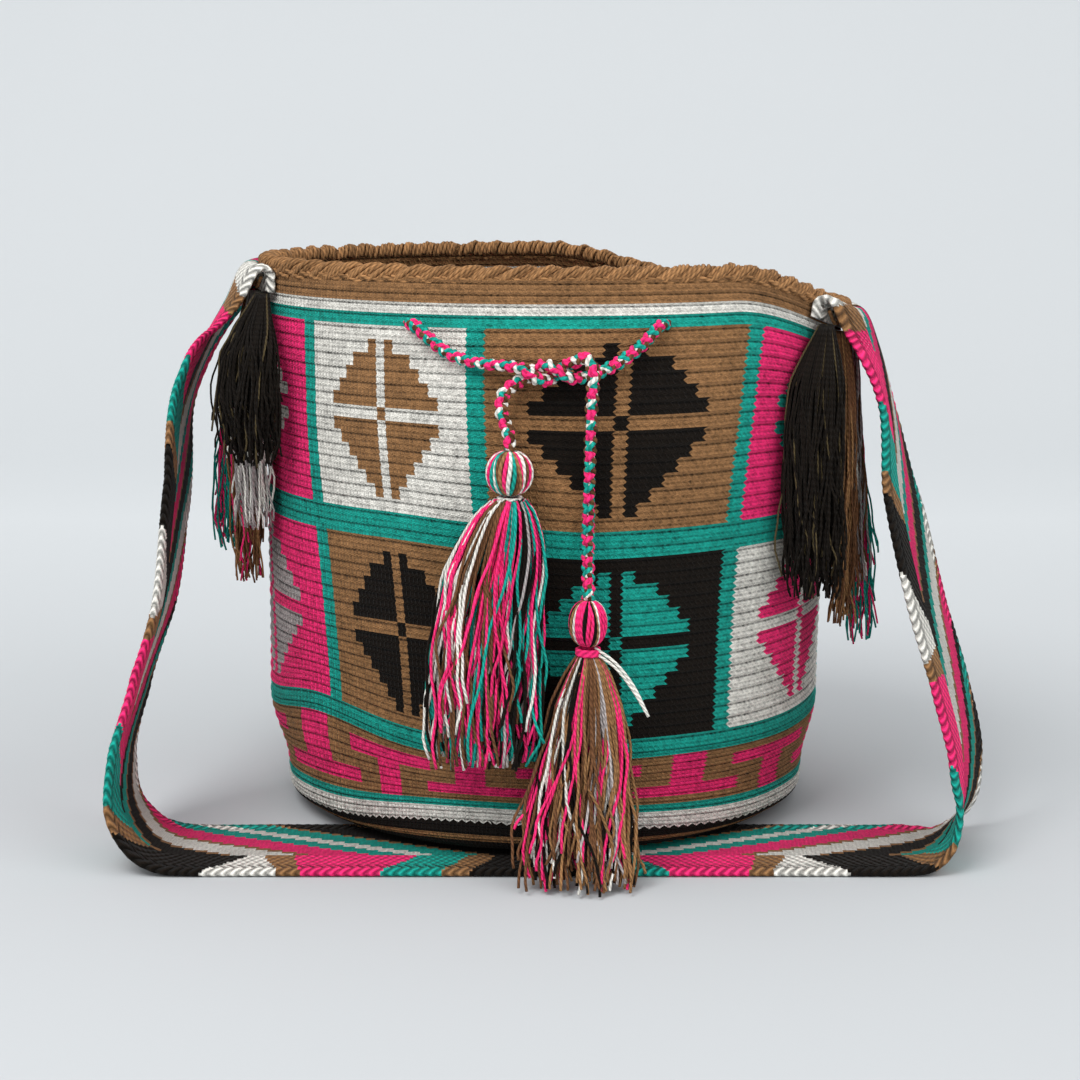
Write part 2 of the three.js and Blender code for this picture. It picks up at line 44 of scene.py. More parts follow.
# The bag's own sizes in millimetres, as in the CAD part.
BODY_RADIUS = 138.5
BODY_HEIGHT = 271.5
WALL_THICK = 4
BASE_RADIUS = 121
FOOT_RADIUS = 134.5
FOOT_HEIGHT = 12
BELLY_LOW = 24
BELLY_HIGH = 58
GATHER_START = 165
MOUTH_HALF_WIDTH = 144
MOUTH_HALF_DEPTH = 104
MOUTH_SHIFT = 5
MOUTH_DROP = 22
STRAP_WIDTH = 74
STRAP_THICK = 3.5
STRAP_FLOOR_Y = -113.5
STRAP_RIGHT_TURN = 19
CORD_DIAMETER = 6.3
EYELET_HEIGHT = 248
EYELET_SLANT = math.radians(44)
GAP = 0.35


def linear(red, green, blue):
    """A colour as it is seen on screen, from 0 to 255, in the shader's own scale."""
    shares = np.array([red, green, blue]) / 255
    return np.where(shares < 0.04045, shares / 12.92, ((shares + 0.055) / 1.055) ** 2.4)


TAN = linear(154, 113, 74)
PINK = linear(255, 50, 122)
TEAL = linear(26, 164, 148)
DARK = linear(22, 16, 10)
CREAM = linear(238, 235, 226)
BROWN = linear(112, 76, 50)
GREY = linear(176, 168, 166)
# OLIVE_HIGHLIGHT is a painted highlight: olive strands among the dark fringe yarns stand for the glints on
# them.
OLIVE_HIGHLIGHT = linear(84, 72, 48)


def smooth(low, high, value):
    t = np.clip((value - low) / (high - low), 0, 1)
    return t * t * (3 - 2 * t)


def unit(vectors):
    return vectors / np.maximum(np.linalg.norm(vectors, axis=-1, keepdims=True), 1e-12)


# Camera, at the photograph's angle.
def add_camera():
    lens = bpy.data.cameras.new("camera")
    lens.lens = 80.2
    lens.sensor_width = 36
    camera = bpy.data.objects.new("camera", lens)
    camera.location = (-0.0025, -1.2, 0.347)
    camera.rotation_euler = (math.radians(90 - 10.3), 0, 0)
    bpy.context.scene.collection.objects.link(camera)
    bpy.context.scene.camera = camera


# The bag's surface.
def front_lift(y):
    """How far the base is lifted where it sits on the strap."""
    back = STRAP_FLOOR_Y + STRAP_WIDTH / 2
    return (STRAP_THICK + 1.3) * (1 - smooth(back, back + 75, y))


def mouth_share(z):
    return (np.maximum(0, z - GATHER_START) / (BODY_HEIGHT - GATHER_START)) ** 2


def belly_radius(z):
    t = np.clip(1 - z / FOOT_HEIGHT, 0, 1)
    foot = BASE_RADIUS + (FOOT_RADIUS - BASE_RADIUS) * np.sqrt(1 - t * t)
    belly = FOOT_RADIUS + (BODY_RADIUS - FOOT_RADIUS) * smooth(BELLY_LOW, BELLY_HIGH, z)
    return np.where(z < FOOT_HEIGHT, foot, belly)


def bag_point(angle, z, inset=0.0, scale=1.0):
    """A point at an angle from the front, a height and a distance inside the skin."""
    angle, z, inset, scale = np.broadcast_arrays(
        np.asarray(angle, float), np.asarray(z, float), np.asarray(inset, float), np.asarray(scale, float))
    share = mouth_share(z)
    wide = belly_radius(z) + (MOUTH_HALF_WIDTH - BODY_RADIUS) * share
    deep = belly_radius(z) + (MOUTH_HALF_DEPTH - BODY_RADIUS) * share
    out_x = np.sin(angle) / wide
    out_y = -np.cos(angle) / deep
    size = np.hypot(out_x, out_y)
    x = np.sin(angle) * wide - out_x / size * inset + MOUTH_SHIFT * share
    y = -np.cos(angle) * deep - out_y / size * inset
    x, y = x * scale, y * scale
    droop = MOUTH_DROP * smooth(45, 150, x + 0.45 * y) * smooth(150, BODY_HEIGHT, z)
    lift = front_lift(y) * (1 - smooth(FOOT_HEIGHT, 4 * FOOT_HEIGHT, z))
    return np.stack([x, y, z - droop + lift], axis=-1)


class Path:
    """One smooth curve through points, measured by the distance along it."""

    def __init__(self, points, steps=24):
        p = np.array(points, float)
        p = np.vstack([2 * p[0] - p[1], p, 2 * p[-1] - p[-2]])
        pieces = [p[1][None]]
        for a, b, c, d in zip(p, p[1:], p[2:], p[3:]):
            ab, bc, cd = (max(np.linalg.norm(v), 1e-6) ** 0.5 for v in (b - a, c - b, d - c))
            start = ((b - a) / ab - (c - a) / (ab + bc) + (c - b) / bc) * bc
            end = ((c - b) / bc - (d - b) / (bc + cd) + (d - c) / cd) * bc
            t = (np.arange(1, steps + 1) / steps)[:, None]
            pieces.append(b + start * t + (-3 * b + 3 * c - 2 * start - end) * t ** 2
                          + (2 * b - 2 * c + start + end) * t ** 3)
        self.points = np.vstack(pieces)
        gone = np.linalg.norm(np.diff(self.points, axis=0), axis=1)
        self.gone = np.concatenate([[0], np.cumsum(gone)])
        self.length = self.gone[-1]

    def at(self, distance):
        return np.stack([np.interp(distance, self.gone, self.points[:, k]) for k in range(3)], axis=-1)

    def tangent(self, distance):
        return unit(self.at(np.minimum(distance + 0.4, self.length)) - self.at(np.maximum(distance - 0.4, 0)))


def carried_frames(paths):
    """Two directions square to each path, carried along it without a twist."""
    tangents = unit(np.gradient(paths, axis=1))
    first = np.cross(tangents[:, 0], [0.13, 0.21, 1.0])
    sides = [unit(first)]
    for k in range(1, paths.shape[1]):
        along = tangents[:, k]
        side = sides[-1] - (sides[-1] * along).sum(-1, keepdims=True) * along
        sides.append(unit(side))
    side = np.stack(sides, axis=1)
    return side, np.cross(tangents, side)


# Meshes.
def new_piece(name, mesh, finish, slot, *nodes):
    mesh.polygons.foreach_set("use_smooth", [True] * len(mesh.polygons))
    mesh.materials.append(finish)
    piece = bpy.data.objects.new(name, mesh)
    bpy.context.scene.collection.objects.link(piece)
    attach(piece, "root")
    if nodes:
        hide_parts(*nodes)
    return piece


def woven_mesh(name, columns, rows, place, dye, closed=True):
    """A sheet of stitches: place gives the points of columns and rows, dye the colours of faces."""
    shape = bmesh.new()
    bmesh.ops.create_grid(shape, x_segments=columns, y_segments=rows, size=0.5)
    flat = np.array([v.co for v in shape.verts])
    column = np.rint((flat[:, 0] + 0.5) * columns).astype(int)
    row = np.rint((flat[:, 1] + 0.5) * rows).astype(int)
    for v, point in zip(shape.verts, place(column, row) * MM):
        v.co = point
    mesh = bpy.data.meshes.new(name)
    shape.to_mesh(mesh)
    corner = np.empty(len(mesh.loops), int)
    mesh.loops.foreach_get("vertex_index", corner)
    corner_column = column[corner].reshape(-1, 4)
    corner_row = row[corner].reshape(-1, 4)
    places = np.stack([corner_column, corner_row], axis=-1)
    mesh.uv_layers.new(name="UVMap").data.foreach_set("uv", places.ravel())
    colours = dye(corner_column.min(axis=1), corner_row.min(axis=1))
    colours = np.concatenate([colours, np.ones((len(colours), 1))], axis=1)
    layer = mesh.attributes.new("dye", "FLOAT_COLOR", "CORNER")
    layer.data.foreach_set("color", np.repeat(colours, 4, axis=0).ravel())
    shape.clear()
    shape.from_mesh(mesh)
    bmesh.ops.remove_doubles(shape, verts=shape.verts, dist=1e-7)
    if closed:
        bmesh.ops.recalc_face_normals(shape, faces=shape.faces)
    shape.to_mesh(mesh)
    shape.free()
    return mesh


def tube_template(steps, sides):
    """A straight tube with closed ends: x is the step, y and z go round."""
    shape = bmesh.new()
    bmesh.ops.create_grid(shape, x_segments=steps, y_segments=sides, size=0.5)
    layer = shape.loops.layers.uv.new("UVMap")
    for face in shape.faces:
        for loop in face.loops:
            loop[layer].uv = ((loop.vert.co.x + 0.5) * steps, loop.vert.co.y + 0.5)
    for v in shape.verts:
        turn = 2 * math.pi * (v.co.y + 0.5)
        v.co = ((v.co.x + 0.5) * steps, math.cos(turn), math.sin(turn))
    bmesh.ops.remove_doubles(shape, verts=shape.verts, dist=1e-4)
    bmesh.ops.edgeloop_fill(shape, edges=[e for e in shape.edges if e.is_boundary])
    bmesh.ops.recalc_face_normals(shape, faces=shape.faces)
    mesh = bpy.data.meshes.new("template")
    shape.to_mesh(mesh)
    shape.free()
    return mesh


def yarn_mesh(name, paths, radius, dyes, sides=6):
    """One mesh of many yarns of the same number of steps, each in its own dye."""
    paths = np.asarray(paths, float)
    count, stops = paths.shape[:2]
    radius = np.broadcast_to(np.asarray(radius, float), (count, stops))
    template = tube_template(stops - 1, sides)
    shape = bmesh.new()
    for _ in range(count):
        shape.from_mesh(template)
    mesh = bpy.data.meshes.new(name)
    shape.to_mesh(mesh)
    shape.free()
    flat = np.empty(len(template.vertices) * 3)
    template.vertices.foreach_get("co", flat)
    flat = flat.reshape(-1, 3)
    stop = np.rint(flat[:, 0]).astype(int)
    side, other = carried_frames(paths)
    around = flat[None, :, 1:2] * side[:, stop] + flat[None, :, 2:3] * other[:, stop]
    points = paths[:, stop] + around * radius[:, stop, None]
    mesh.vertices.foreach_set("co", (points * MM).ravel())
    gone = np.linalg.norm(np.diff(paths, axis=1), axis=2)
    gone = np.concatenate([np.zeros((count, 1)), np.cumsum(gone, axis=1)], axis=1)
    layer = mesh.uv_layers["UVMap"]
    uv = np.empty(len(mesh.loops) * 2)
    layer.data.foreach_get("uv", uv)
    uv = uv.reshape(count, -1, 2)
    steps = np.rint(uv[:, :, 0]).astype(int)
    uv[:, :, 0] = np.take_along_axis(gone, steps, axis=1)
    layer.data.foreach_set("uv", uv.ravel())
    colours = np.concatenate([np.asarray(dyes, float), np.ones((count, 1))], axis=1)
    dye = mesh.attributes.new("dye", "FLOAT_COLOR", "POINT")
    dye.data.foreach_set("color", np.repeat(colours, len(flat), axis=0).ravel())
    mesh.update()
    bpy.data.meshes.remove(template)
    return mesh


# Finishes.
class Socket:
    """A shader socket in plain arithmetic: each operator adds its Math node."""

    def __init__(self, finish, link):
        self.finish = finish
        self.link = link

    def maths(self, operation, *values):
        return self.finish.node("ShaderNodeMath", {"operation": operation}, dict(enumerate(values)))

    def __add__(self, other):
        return self.maths("ADD", self, other)

    def __sub__(self, other):
        return self.maths("SUBTRACT", self, other)

    def __rsub__(self, other):
        return self.maths("SUBTRACT", other, self)

    def __mul__(self, other):
        return self.maths("MULTIPLY", self, other)

    def __truediv__(self, other):
        return self.maths("DIVIDE", self, other)

    def __pow__(self, other):
        return self.maths("POWER", self, other)

    def __lt__(self, other):
        return self.maths("LESS_THAN", self, other)

    def __abs__(self):
        return self.maths("ABSOLUTE", self)

    __radd__ = __add__
    __rmul__ = __mul__

    def share(self):
        """The part after the point, from 0 to 1."""
        return self.maths("FRACT", self)

    def wave(self):
        """A wave between 0 and 1, once for each whole step."""
        turn = self * (2 * math.pi)
        return 0.5 + 0.5 * turn.maths("SINE", turn)

    def clip(self):
        return self.finish.node("ShaderNodeClamp", {}, {0: self})


class Finish:
    """A material that is built node by node."""

    def __init__(self, name, roughness=0.9, sheen=0.03):
        self.material = bpy.data.materials.new(name)
        self.material.use_nodes = True
        self.tree = self.material.node_tree
        self.shader = self.tree.nodes["Principled BSDF"]
        self.shader.inputs["Roughness"].default_value = roughness
        self.shader.inputs["Sheen Weight"].default_value = sheen
        self.shader.inputs["Sheen Roughness"].default_value = 0.5
        self.shader.inputs["Specular IOR Level"].default_value = 0.12

    def node(self, kind, settings, inputs, output=0):
        """Adds a node with its settings first, then the values or links of its sockets."""
        made = self.tree.nodes.new(kind)
        for key, value in settings.items():
            setattr(made, key, value)
        for key, value in inputs.items():
            self.join(made.inputs[key], value)
        return Socket(self, made.outputs[output])

    def join(self, target, value):
        if isinstance(value, Socket):
            self.tree.links.new(value.link, target)
        else:
            target.default_value = value

    def dye(self):
        return self.node("ShaderNodeAttribute", {"attribute_name": "dye"}, {}, "Color")

    def uv(self):
        parts = self.node("ShaderNodeUVMap", {"uv_map": "UVMap"}, {})
        split = self.node("ShaderNodeSeparateXYZ", {}, {0: parts})
        return split, Socket(self, split.link.node.outputs[1])

    def noise(self, scale, detail=2.0):
        place = self.node("ShaderNodeTexCoord", {}, {}, "Object")
        return self.node("ShaderNodeTexNoise", {}, {"Vector": place, "Scale": scale, "Detail": detail})

    def mix(self, share, first, second):
        return self.node("ShaderNodeMix", {"data_type": "RGBA"}, {0: share, 6: first, 7: second}, 2)

    def shade(self, colour, brightness):
        """The colour made brighter or darker by a number."""
        return self.node("ShaderNodeVectorMath", {"operation": "SCALE"}, {0: colour, 3: brightness})

    def finish(self, colour, height, strength, distance):
        bump = self.node("ShaderNodeBump", {},
                         {"Height": height, "Strength": strength, "Distance": distance})
        self.join(self.shader.inputs["Base Color"], colour)
        self.join(self.shader.inputs["Normal"], bump)
        return self.material


def crochet_finish(name):
    """Rounds of stitches: u counts the stitches and v the rounds."""
    look = Finish(name)
    u, v = look.uv()
    part = v.share()
    strong = (v * 0.5).share() < 0.5
    rope = (1 - abs(part - 0.26) * 3.9).clip()
    posts = 1 - rope
    twist = (u + part * 2.4).wave()
    legs = (u * 2 + part * 0.8 + 0.25).wave()
    stitch = (u + part * 0.4 + 0.5).share()
    between = (1 - abs(stitch - 0.5) * 5).clip()
    fibre = look.noise(1000.0, 3.0)
    tuft = look.noise(360.0, 3.0)
    patch = look.noise(60.0, 3.0)
    raised = rope ** 0.7 * (0.5 + 0.8 * strong) * (0.5 + 0.7 * twist)
    height = raised + posts * (0.2 + 0.35 * legs - 0.4 * between) + fibre * 0.5 + tuft * 0.5
    # valley_shade is painted shade: darker in the groove under each round's rope and along the top of each
    # round.
    valley_shade = (1 - abs(part - 0.58) * 4.6).clip() * (0.5 + 0.5 * strong) + (1 - part * 9).clip() * 0.5
    # Painted light in the stitches: brighter on the rope's twists and the stitch legs (painted highlight),
    # darker in the valleys and the gaps between stitches (painted shade); the noises add random tone.
    light = (0.88 + rope * (0.3 + 0.6 * strong) * (twist - 0.1) - valley_shade * 0.64 - posts * between * 0.3
             + posts * legs * 0.18 + (fibre - 0.5) * 0.8 + (tuft - 0.5) * 1.1 + (patch - 0.5) * 0.5)
    colour = look.shade(look.dye(), light)
    return look.finish(colour, height, 1.0, 0.0014)


def yarn_finish(name, pitch=3.2, plies=2, strength=0.5):
    """Plied yarn: u is the distance along it in millimetres and v goes round it."""
    look = Finish(name)
    u, v = look.uv()
    ply = (u / pitch + v * plies).wave()
    fibre = look.noise(1300.0, 2.0)
    patch = look.noise(90.0, 1.0)
    height = ply ** 0.6 + fibre * 0.5
    # Painted light on the plies: brighter on each ply's crest (painted highlight) and darker in the grooves
    # between plies (painted shade); the noises add random tone.
    light = 0.62 + ply * 0.5 + (fibre - 0.5) * 0.6 + (patch - 0.5) * 0.4
    colour = look.shade(look.dye(), light)
    return look.finish(colour, height, strength, 0.0005)


def strap_finish(name):
    """Flat braid: u is the distance from its middle and v the distance from its front edge."""
    look = Finish(name)
    u, v = look.uv()
    out = abs(u)
    front = v < 24.0
    slanted = out - v * (2.3 - 3.0 * front)
    rib = (slanted / 4.2).wave()
    cross = ((out * 0.9 + v * (1.8 - 2.5 * front)) / 3.4).wave()
    edge_gap = 37.0 - abs(v - 37.0)
    plait = edge_gap < 9.4
    lean = abs(edge_gap - 4.7)
    knot = (u / 4.5 + lean / 5.5).wave()
    fibre = look.noise(1100.0, 2.0)
    patch = look.noise(70.0, 2.0)
    field = rib ** 0.6 * 0.8 + cross * 0.35
    height = plait * (knot ** 0.6 * 1.5) + (1 - plait) * field + fibre * 0.5
    # plait_edge_shade is painted shade along the foot of the raised plait, where it meets the flat field.
    plait_edge_shade = (1 - abs(edge_gap - 9.4) * 1.4).clip()
    # Painted light in the braid: brighter on the raised knots of the plait and the ribs of the field (painted
    # highlight), darker along the plait's foot (painted shade); the noises add random tone.
    light = (0.58 + plait * knot * 0.6 + (1 - plait) * field * 0.48 - plait_edge_shade * 0.3 + (fibre - 0.5) * 0.7
             + (patch - 0.5) * 0.4)
    colour = look.shade(look.dye(), light)
    return look.finish(colour, height, 1.0, 0.0016)


# The crocheted wall.
STITCHES = 287
FOOT_CELL = 52.2  # where the wall ends and the base begins
BASE_CELLS = 40
PER_SQUARE = 41
PATTERN_START = math.radians(-13.08)
ROUND_TABLE = ((0, 277.5), (5.5, 250), (21, 154), (37, 54.8), (45, 28.4), (47.5, 18.4), (50, 9),
               (FOOT_CELL, 0))
FIGURE = (0, 1, 3, 4, 5, 6, -1, 6, 5, 4, 3, 2, 1, 0)
UPPER = ((TAN, DARK), (PINK, TEAL), (CREAM, TAN), (TAN, DARK), (DARK, TEAL), (PINK, CREAM), (CREAM, TAN))
LOWER = ((DARK, TEAL), (CREAM, PINK), (TAN, DARK), (PINK, CREAM), (CREAM, TAN), (PINK, GREY), (TAN, DARK))


def square_dye(stitch, row, squares):
    """The colour in a square's field of 14 rows of cells."""
    square, across = divmod(stitch, PER_SQUARE)
    if across < 3:
        return TEAL
    ground, figure = squares[square]
    off = abs((across - 3) // 2 - 9)
    reach = FIGURE[row]
    if reach < 0:
        return figure if off == 0 else ground
    return figure if 0 < off <= reach else ground


def key_dye(stitch, row):
    """Interlocked bars with an arm, 13 rounds high."""
    across = (stitch - 26) % PER_SQUARE
    low = abs(across - 10)
    high = min(abs(across - 30.5), abs(across + 10.5))
    if low <= 3 and row < 8 or low <= 11 and 8 <= row < 11:
        return PINK
    if high <= 11 and 2 <= row < 5 or high <= 3 and row >= 5:
        return PINK
    return TAN


def wall_dye(stitch, turn):
    """The colour of a stitch in a round, counted from the rim."""
    cell = turn / 2
    if cell < 4:
        return TAN
    if cell < 5:
        return CREAM
    if cell < 6:
        return TEAL
    if cell < 20:
        return square_dye(stitch, int(cell) - 6, UPPER)
    if cell < 22:
        return TEAL
    if cell < 36:
        return square_dye(stitch, int(cell) - 22, LOWER)
    if cell < 38:
        return TEAL
    if cell < 44.5:
        return key_dye(stitch, turn - 76)
    if cell < 45.5:
        return TEAL
    if cell < 47.5:
        return CREAM
    if 49.5 <= cell < 50.5:
        return TAN
    return DARK


# How far the white round at the foot lies above its usual height, by degrees from the front.
HEM_DEGREES = (-180, -130, -95, -53, -40, -17, 19, 49, 75, 100, 140, 180)
HEM_SHIFT = (0, -5, -12, -12.5, -8, -1, -6.5, -12.5, -12.5, -9, -3, 0)


def band_shift(angle, cell, height):
    """How far a round lies above its usual height, where the fabric sags or is pushed up."""
    degrees = np.degrees((angle + np.pi) % (2 * np.pi) - np.pi)
    middle = (4 * (1 - smooth(-35, 0, degrees)) * smooth(-120, -80, degrees)
              - 3 * smooth(-10, 10, degrees) * (1 - smooth(60, 120, degrees)))
    low = (11 * np.exp(-((degrees + 50) / 20) ** 2)
           - 2 * smooth(20, 60, degrees) * (1 - smooth(60, 120, degrees)))
    hem = sum(np.interp(degrees + d, HEM_DEGREES, HEM_SHIFT) for d in (-12, -6, 0, 6, 12)) / 5
    return (middle * smooth(8, 20, cell) * (1 - smooth(22, 36, cell))
            + low * smooth(28, 37, cell) * (1 - smooth(37, 46, cell))
            + hem * smooth(38, 46, cell) * np.clip(height / 18.4, 0, 1))


# Where the borders between the squares lie, in degrees from the front: as worked, at the top and
# at the bottom of the bag, whose front the fabric doesn't cover evenly.
WORKED = (-180, -62.6, -11.2, 40.2, 91.6, 180)
AT_TOP = (-180, -53, -14.5, 42.3, 92, 180)
AT_BOTTOM = (-180, -45, -9.5, 35.5, 88, 180)


def settled(angle, cell):
    """The angle at which a column of stitches lies, some rounds below the rim."""
    worked = (np.degrees(angle) + 180) % 360 - 180
    share = smooth(4, 37, cell)
    lies = np.interp(worked, WORKED, AT_TOP) * (1 - share) + np.interp(worked, WORKED, AT_BOTTOM) * share
    return np.radians(lies)


def make_wall(finish):
    """The whole shell in one skin: base, outside, top, inside and the base's inside."""
    cells, heights = zip(*ROUND_TABLE)
    rows = []  # cell, height, inset, scale, relief
    for share in np.linspace(0, 0.97, 30):
        rows.append((FOOT_CELL + BASE_CELLS * (1 - share), 0.0, 0.0, share, 0.0))
    top_cell = 1.2
    stops = np.arange(52.0, top_cell, -0.25)
    for stop in stops:
        part = (stop * 2) % 1
        ridge = 0.8 if stop % 1 == 0 else 0.4
        rows.append((stop, np.interp(stop, cells, heights), 0.0, 1.0, ridge if part == 0 else -0.3))
    rows.append((top_cell, BODY_HEIGHT, 0.4, 1.0, 0.0))
    rows.append((top_cell, BODY_HEIGHT, WALL_THICK - 0.4, 1.0, 0.0))
    for stop in np.arange(1.5, 52, 1.0):
        height = max(float(np.interp(stop, cells, heights)), WALL_THICK + 1)
        rows.append((stop, height, WALL_THICK, 1.0, 0.0))
    for share in np.linspace(0.95, 0, 16):
        rows.append((FOOT_CELL + BASE_CELLS * (1 - share), WALL_THICK, WALL_THICK, share, 0.0))
    table = np.array(rows)

    def place(column, row):
        cell, height, inset, scale, relief = table[row].T
        lean = np.where(inset < 0.2, 0.26 * (-1.0) ** np.rint(cell * 4), 0)
        angle = settled(PATTERN_START + 2 * np.pi * (column + lean) / STITCHES, cell)
        wall = scale == 1.0
        shift = np.where(wall & (cell > top_cell), band_shift(angle, cell, height), 0)
        shift += np.where(cell == 47.5, 0.75 * (-1.0) ** column, 0)
        z = np.where(wall, np.clip(height + shift, 0.5, BODY_HEIGHT), height)
        points = bag_point(angle, np.where(wall, z, 0), inset - relief, scale)
        floor = front_lift(points[:, 1]) + height
        points[:, 2] = np.where(wall, points[:, 2], floor)
        soft = (np.sin(3 * angle + 0.6) * np.sin(z / 34) + 0.6 * np.sin(5 * angle + 1.9) * np.sin(z / 21 + 1))
        push = 1.1 * soft * wall * smooth(20, 60, z) * (1 - smooth(200, 235, z))
        push -= 4.5 * wall * smooth(52, 14, z) * np.abs(np.sin(angle)) ** 3
        points[:, 0] += push * np.sin(angle)
        points[:, 1] -= push * np.cos(angle)
        return points

    def dye(column, row):
        middle = (table[row, 0] + table[np.minimum(row + 1, len(table) - 1), 0]) / 2
        turn = np.floor(middle * 2 + 1e-6).astype(int)
        seen = {}
        colours = np.empty((len(column), 3))
        for k, pair in enumerate(zip(column.tolist(), turn.tolist())):
            if pair not in seen:
                seen[pair] = wall_dye(*pair)
            colours[k] = seen[pair]
        return colours

    mesh = woven_mesh("crochet_wall", STITCHES, len(rows) - 1, place, dye)
    layer = mesh.uv_layers["UVMap"]
    uv = np.empty(len(mesh.loops) * 2)
    layer.data.foreach_get("uv", uv)
    uv = uv.reshape(-1, 2)
    uv[:, 1] = table[np.rint(uv[:, 1]).astype(int), 0] * 2
    layer.data.foreach_set("uv", uv.ravel())
    return new_piece("crochet_wall", mesh, finish, "crochet_wall", "bag_shell")


# The scalloped edging.
LOBES = 64
WRAP = ((-8.5, -6.2, 1.5), (-6.6, -4.9, 2.9), (-3.2, -2.4, 3.3), (0.4, 0.2, 2.9), (3.4, 1.6, 1.0),
        (5.2, 1.2, -1.6), (6.4, -1.0, -2.7), (7.0, -3.8, -2.2))
WRAP_YARNS = ((-4.6, 0.9, -0.5), (-3.0, 0.97, 0.3), (-1.4, 1.03, 0.9), (0.2, 1.08, 1.1), (1.8, 1.03, 0.7),
              (3.4, 0.96, 0.1), (4.9, 0.9, -0.7))


def make_edging(finish):
    """Low scallops of crossed stitches, with their lower ends laid along the rim."""
    bends = np.linspace(0, 2 * np.pi, 721)
    rim = bag_point(bends, BODY_HEIGHT, WALL_THICK / 2)
    gone = np.concatenate([[0], np.cumsum(np.linalg.norm(np.diff(rim, axis=0), axis=1))])
    around = gone[-1]
    outward = bag_point(bends, BODY_HEIGHT, 0) - rim
    outward[:, 2] = 0
    outward = unit(outward)
    chance = random.Random(7)
    paths = []
    dyes = []

    def add(s, high, out):
        s = np.mod(s, around)
        place = np.stack([np.interp(s, gone, rim[:, k]) for k in range(3)], axis=-1)
        away = np.stack([np.interp(s, gone, outward[:, k]) for k in range(3)], axis=-1)
        point = place + away * out[:, None]
        point[:, 2] += high
        paths.append(point)
        dyes.append(TAN * chance.uniform(0.75, 1.3))

    line = Path(WRAP, 6)
    local = line.at(np.linspace(0, line.length, 17))
    for lobe in range(LOBES):
        skew = chance.uniform(-1.6, 1.6)
        for offset, swell, out in WRAP_YARNS:
            high = local[:, 1] * np.where(local[:, 1] > 0, swell, 1) + (swell - 1) * 6 - 0.2
            wander = chance.uniform(-0.7, 0.7)
            add((lobe + 0.5) * around / LOBES + offset * 1.15 + skew + wander + local[:, 0],
                high + chance.uniform(-0.3, 0.3), local[:, 2] + out * np.sign(local[:, 2]))
        for offset, low in ((-3.4, -4.4), (2.7, -5.6)):
            t = np.linspace(0, 1, 17)
            start = (lobe + 0.5) * around / LOBES + offset
            add(start + 9.5 * t, low + 3.0 * (1 - t) ** 2 + chance.uniform(-0.3, 0.3),
                3.3 + 0.9 * np.sin(np.pi * t))
    mesh = yarn_mesh("edging_wraps", paths, 0.92, dyes, 6)
    return new_piece("edging_wraps", mesh, finish, "crochet_edging", "rim_edging")


# The strap.
STRAP_SEAT = GAP + 0.45
SEWN_TOP = 6
SEWN_HIGH = 8
END_ANGLE = {-1: math.radians(-88), 1: math.radians(78)}
LEFT_RUN = ((-156.5, -6, 252), (-168, -14, 230), (-176, -30, 203), (-178, -55, 158), (-182, -76, 113),
            (-192, -90, 76), (-199, -102, 44), (-197, -109, 22), (-187, -112.6, 8), (-177, -113.4, 3),
            (-164, STRAP_FLOOR_Y, 1.75))
RIGHT_RUN = ((161, -22, 232), (165, -30, 216), (168, -38, 198), (173, -54, 160), (182, -76, 113),
             (192, -90, 76), (198, -102, 44), (196, -109, 22), (187, -112.6, 8), (178, -113.4, 3),
             (165, STRAP_FLOOR_Y, 1.75))
FLOOR_RUN = tuple((x, STRAP_FLOOR_Y, 1.75) for x in (-130, -80, -30, 30, 80, 130))
# Where each colour of the front edge ends, measured from the middle, and how its border slants.
STRAP_BANDS = ((25, DARK, 0.5), (38, TAN, 0.5), (66, TEAL, 0.7), (102.5, PINK, -0.2), (113, TAN, -0.35),
               (148, CREAM, 0.85), (187, DARK, 0.5), (198, TAN, 0.5), (232, TEAL, 0.7), (273, PINK, -0.2),
               (283, TAN, -0.35), (323, CREAM, 0.85), (361, DARK, 0.5), (373, TAN, 0.5), (406, TEAL, 0.7),
               (447, PINK, -0.2), (459, TAN, -0.35), (900, CREAM, 0.85))
# The long oblique stripes behind the front edge, at its border.
FIELD_BANDS = ((14, DARK), (19, TAN), (40, TEAL), (53, CREAM), (70, TEAL), (98, PINK), (105, TAN),
               (134, CREAM), (139, TAN), (166, DARK), (172, TAN), (190, TEAL), (203, DARK), (232, PINK),
               (240, TAN), (268, CREAM), (282, TEAL), (309, DARK), (315, TAN), (338, PINK), (352, TEAL),
               (378, CREAM), (388, TAN), (412, DARK), (436, PINK), (450, TEAL), (900, CREAM))
FRONT_ZONE = 24
FIELD_SLANT = 2.3
STRAP_ACROSS = np.array([0, 0.35, 1.1, 2.2, 3.6, 5, 6.4, 7.7, 8.8, 9.8, 12, 14.4, 16.8, 19.2, 21.6, 24, 26.6,
                         29.2, 31.8, 34.4, 37])


def end_point(side, down, out=0.0):
    return bag_point(END_ANGLE[side], BODY_HEIGHT - down, -(STRAP_SEAT + STRAP_THICK / 2 + out))


def over_rim(side):
    return [end_point(side, SEWN_TOP), end_point(side, 3.2, 1.6), end_point(side, 2.6, 5.4),
            end_point(side, 5.5, 8.8)]


def strap_dye(out, across):
    """The colour at a distance from the middle and a distance from the front edge."""
    if across < FRONT_ZONE:
        for end, colour, slant in STRAP_BANDS:
            if out < end - slant * across:
                return colour
    reach = out - FIELD_SLANT * (across - FRONT_ZONE)
    if reach < 0:
        reach = -reach * 0.7
    for end, colour in FIELD_BANDS:
        if reach < end:
            return colour
    return CREAM


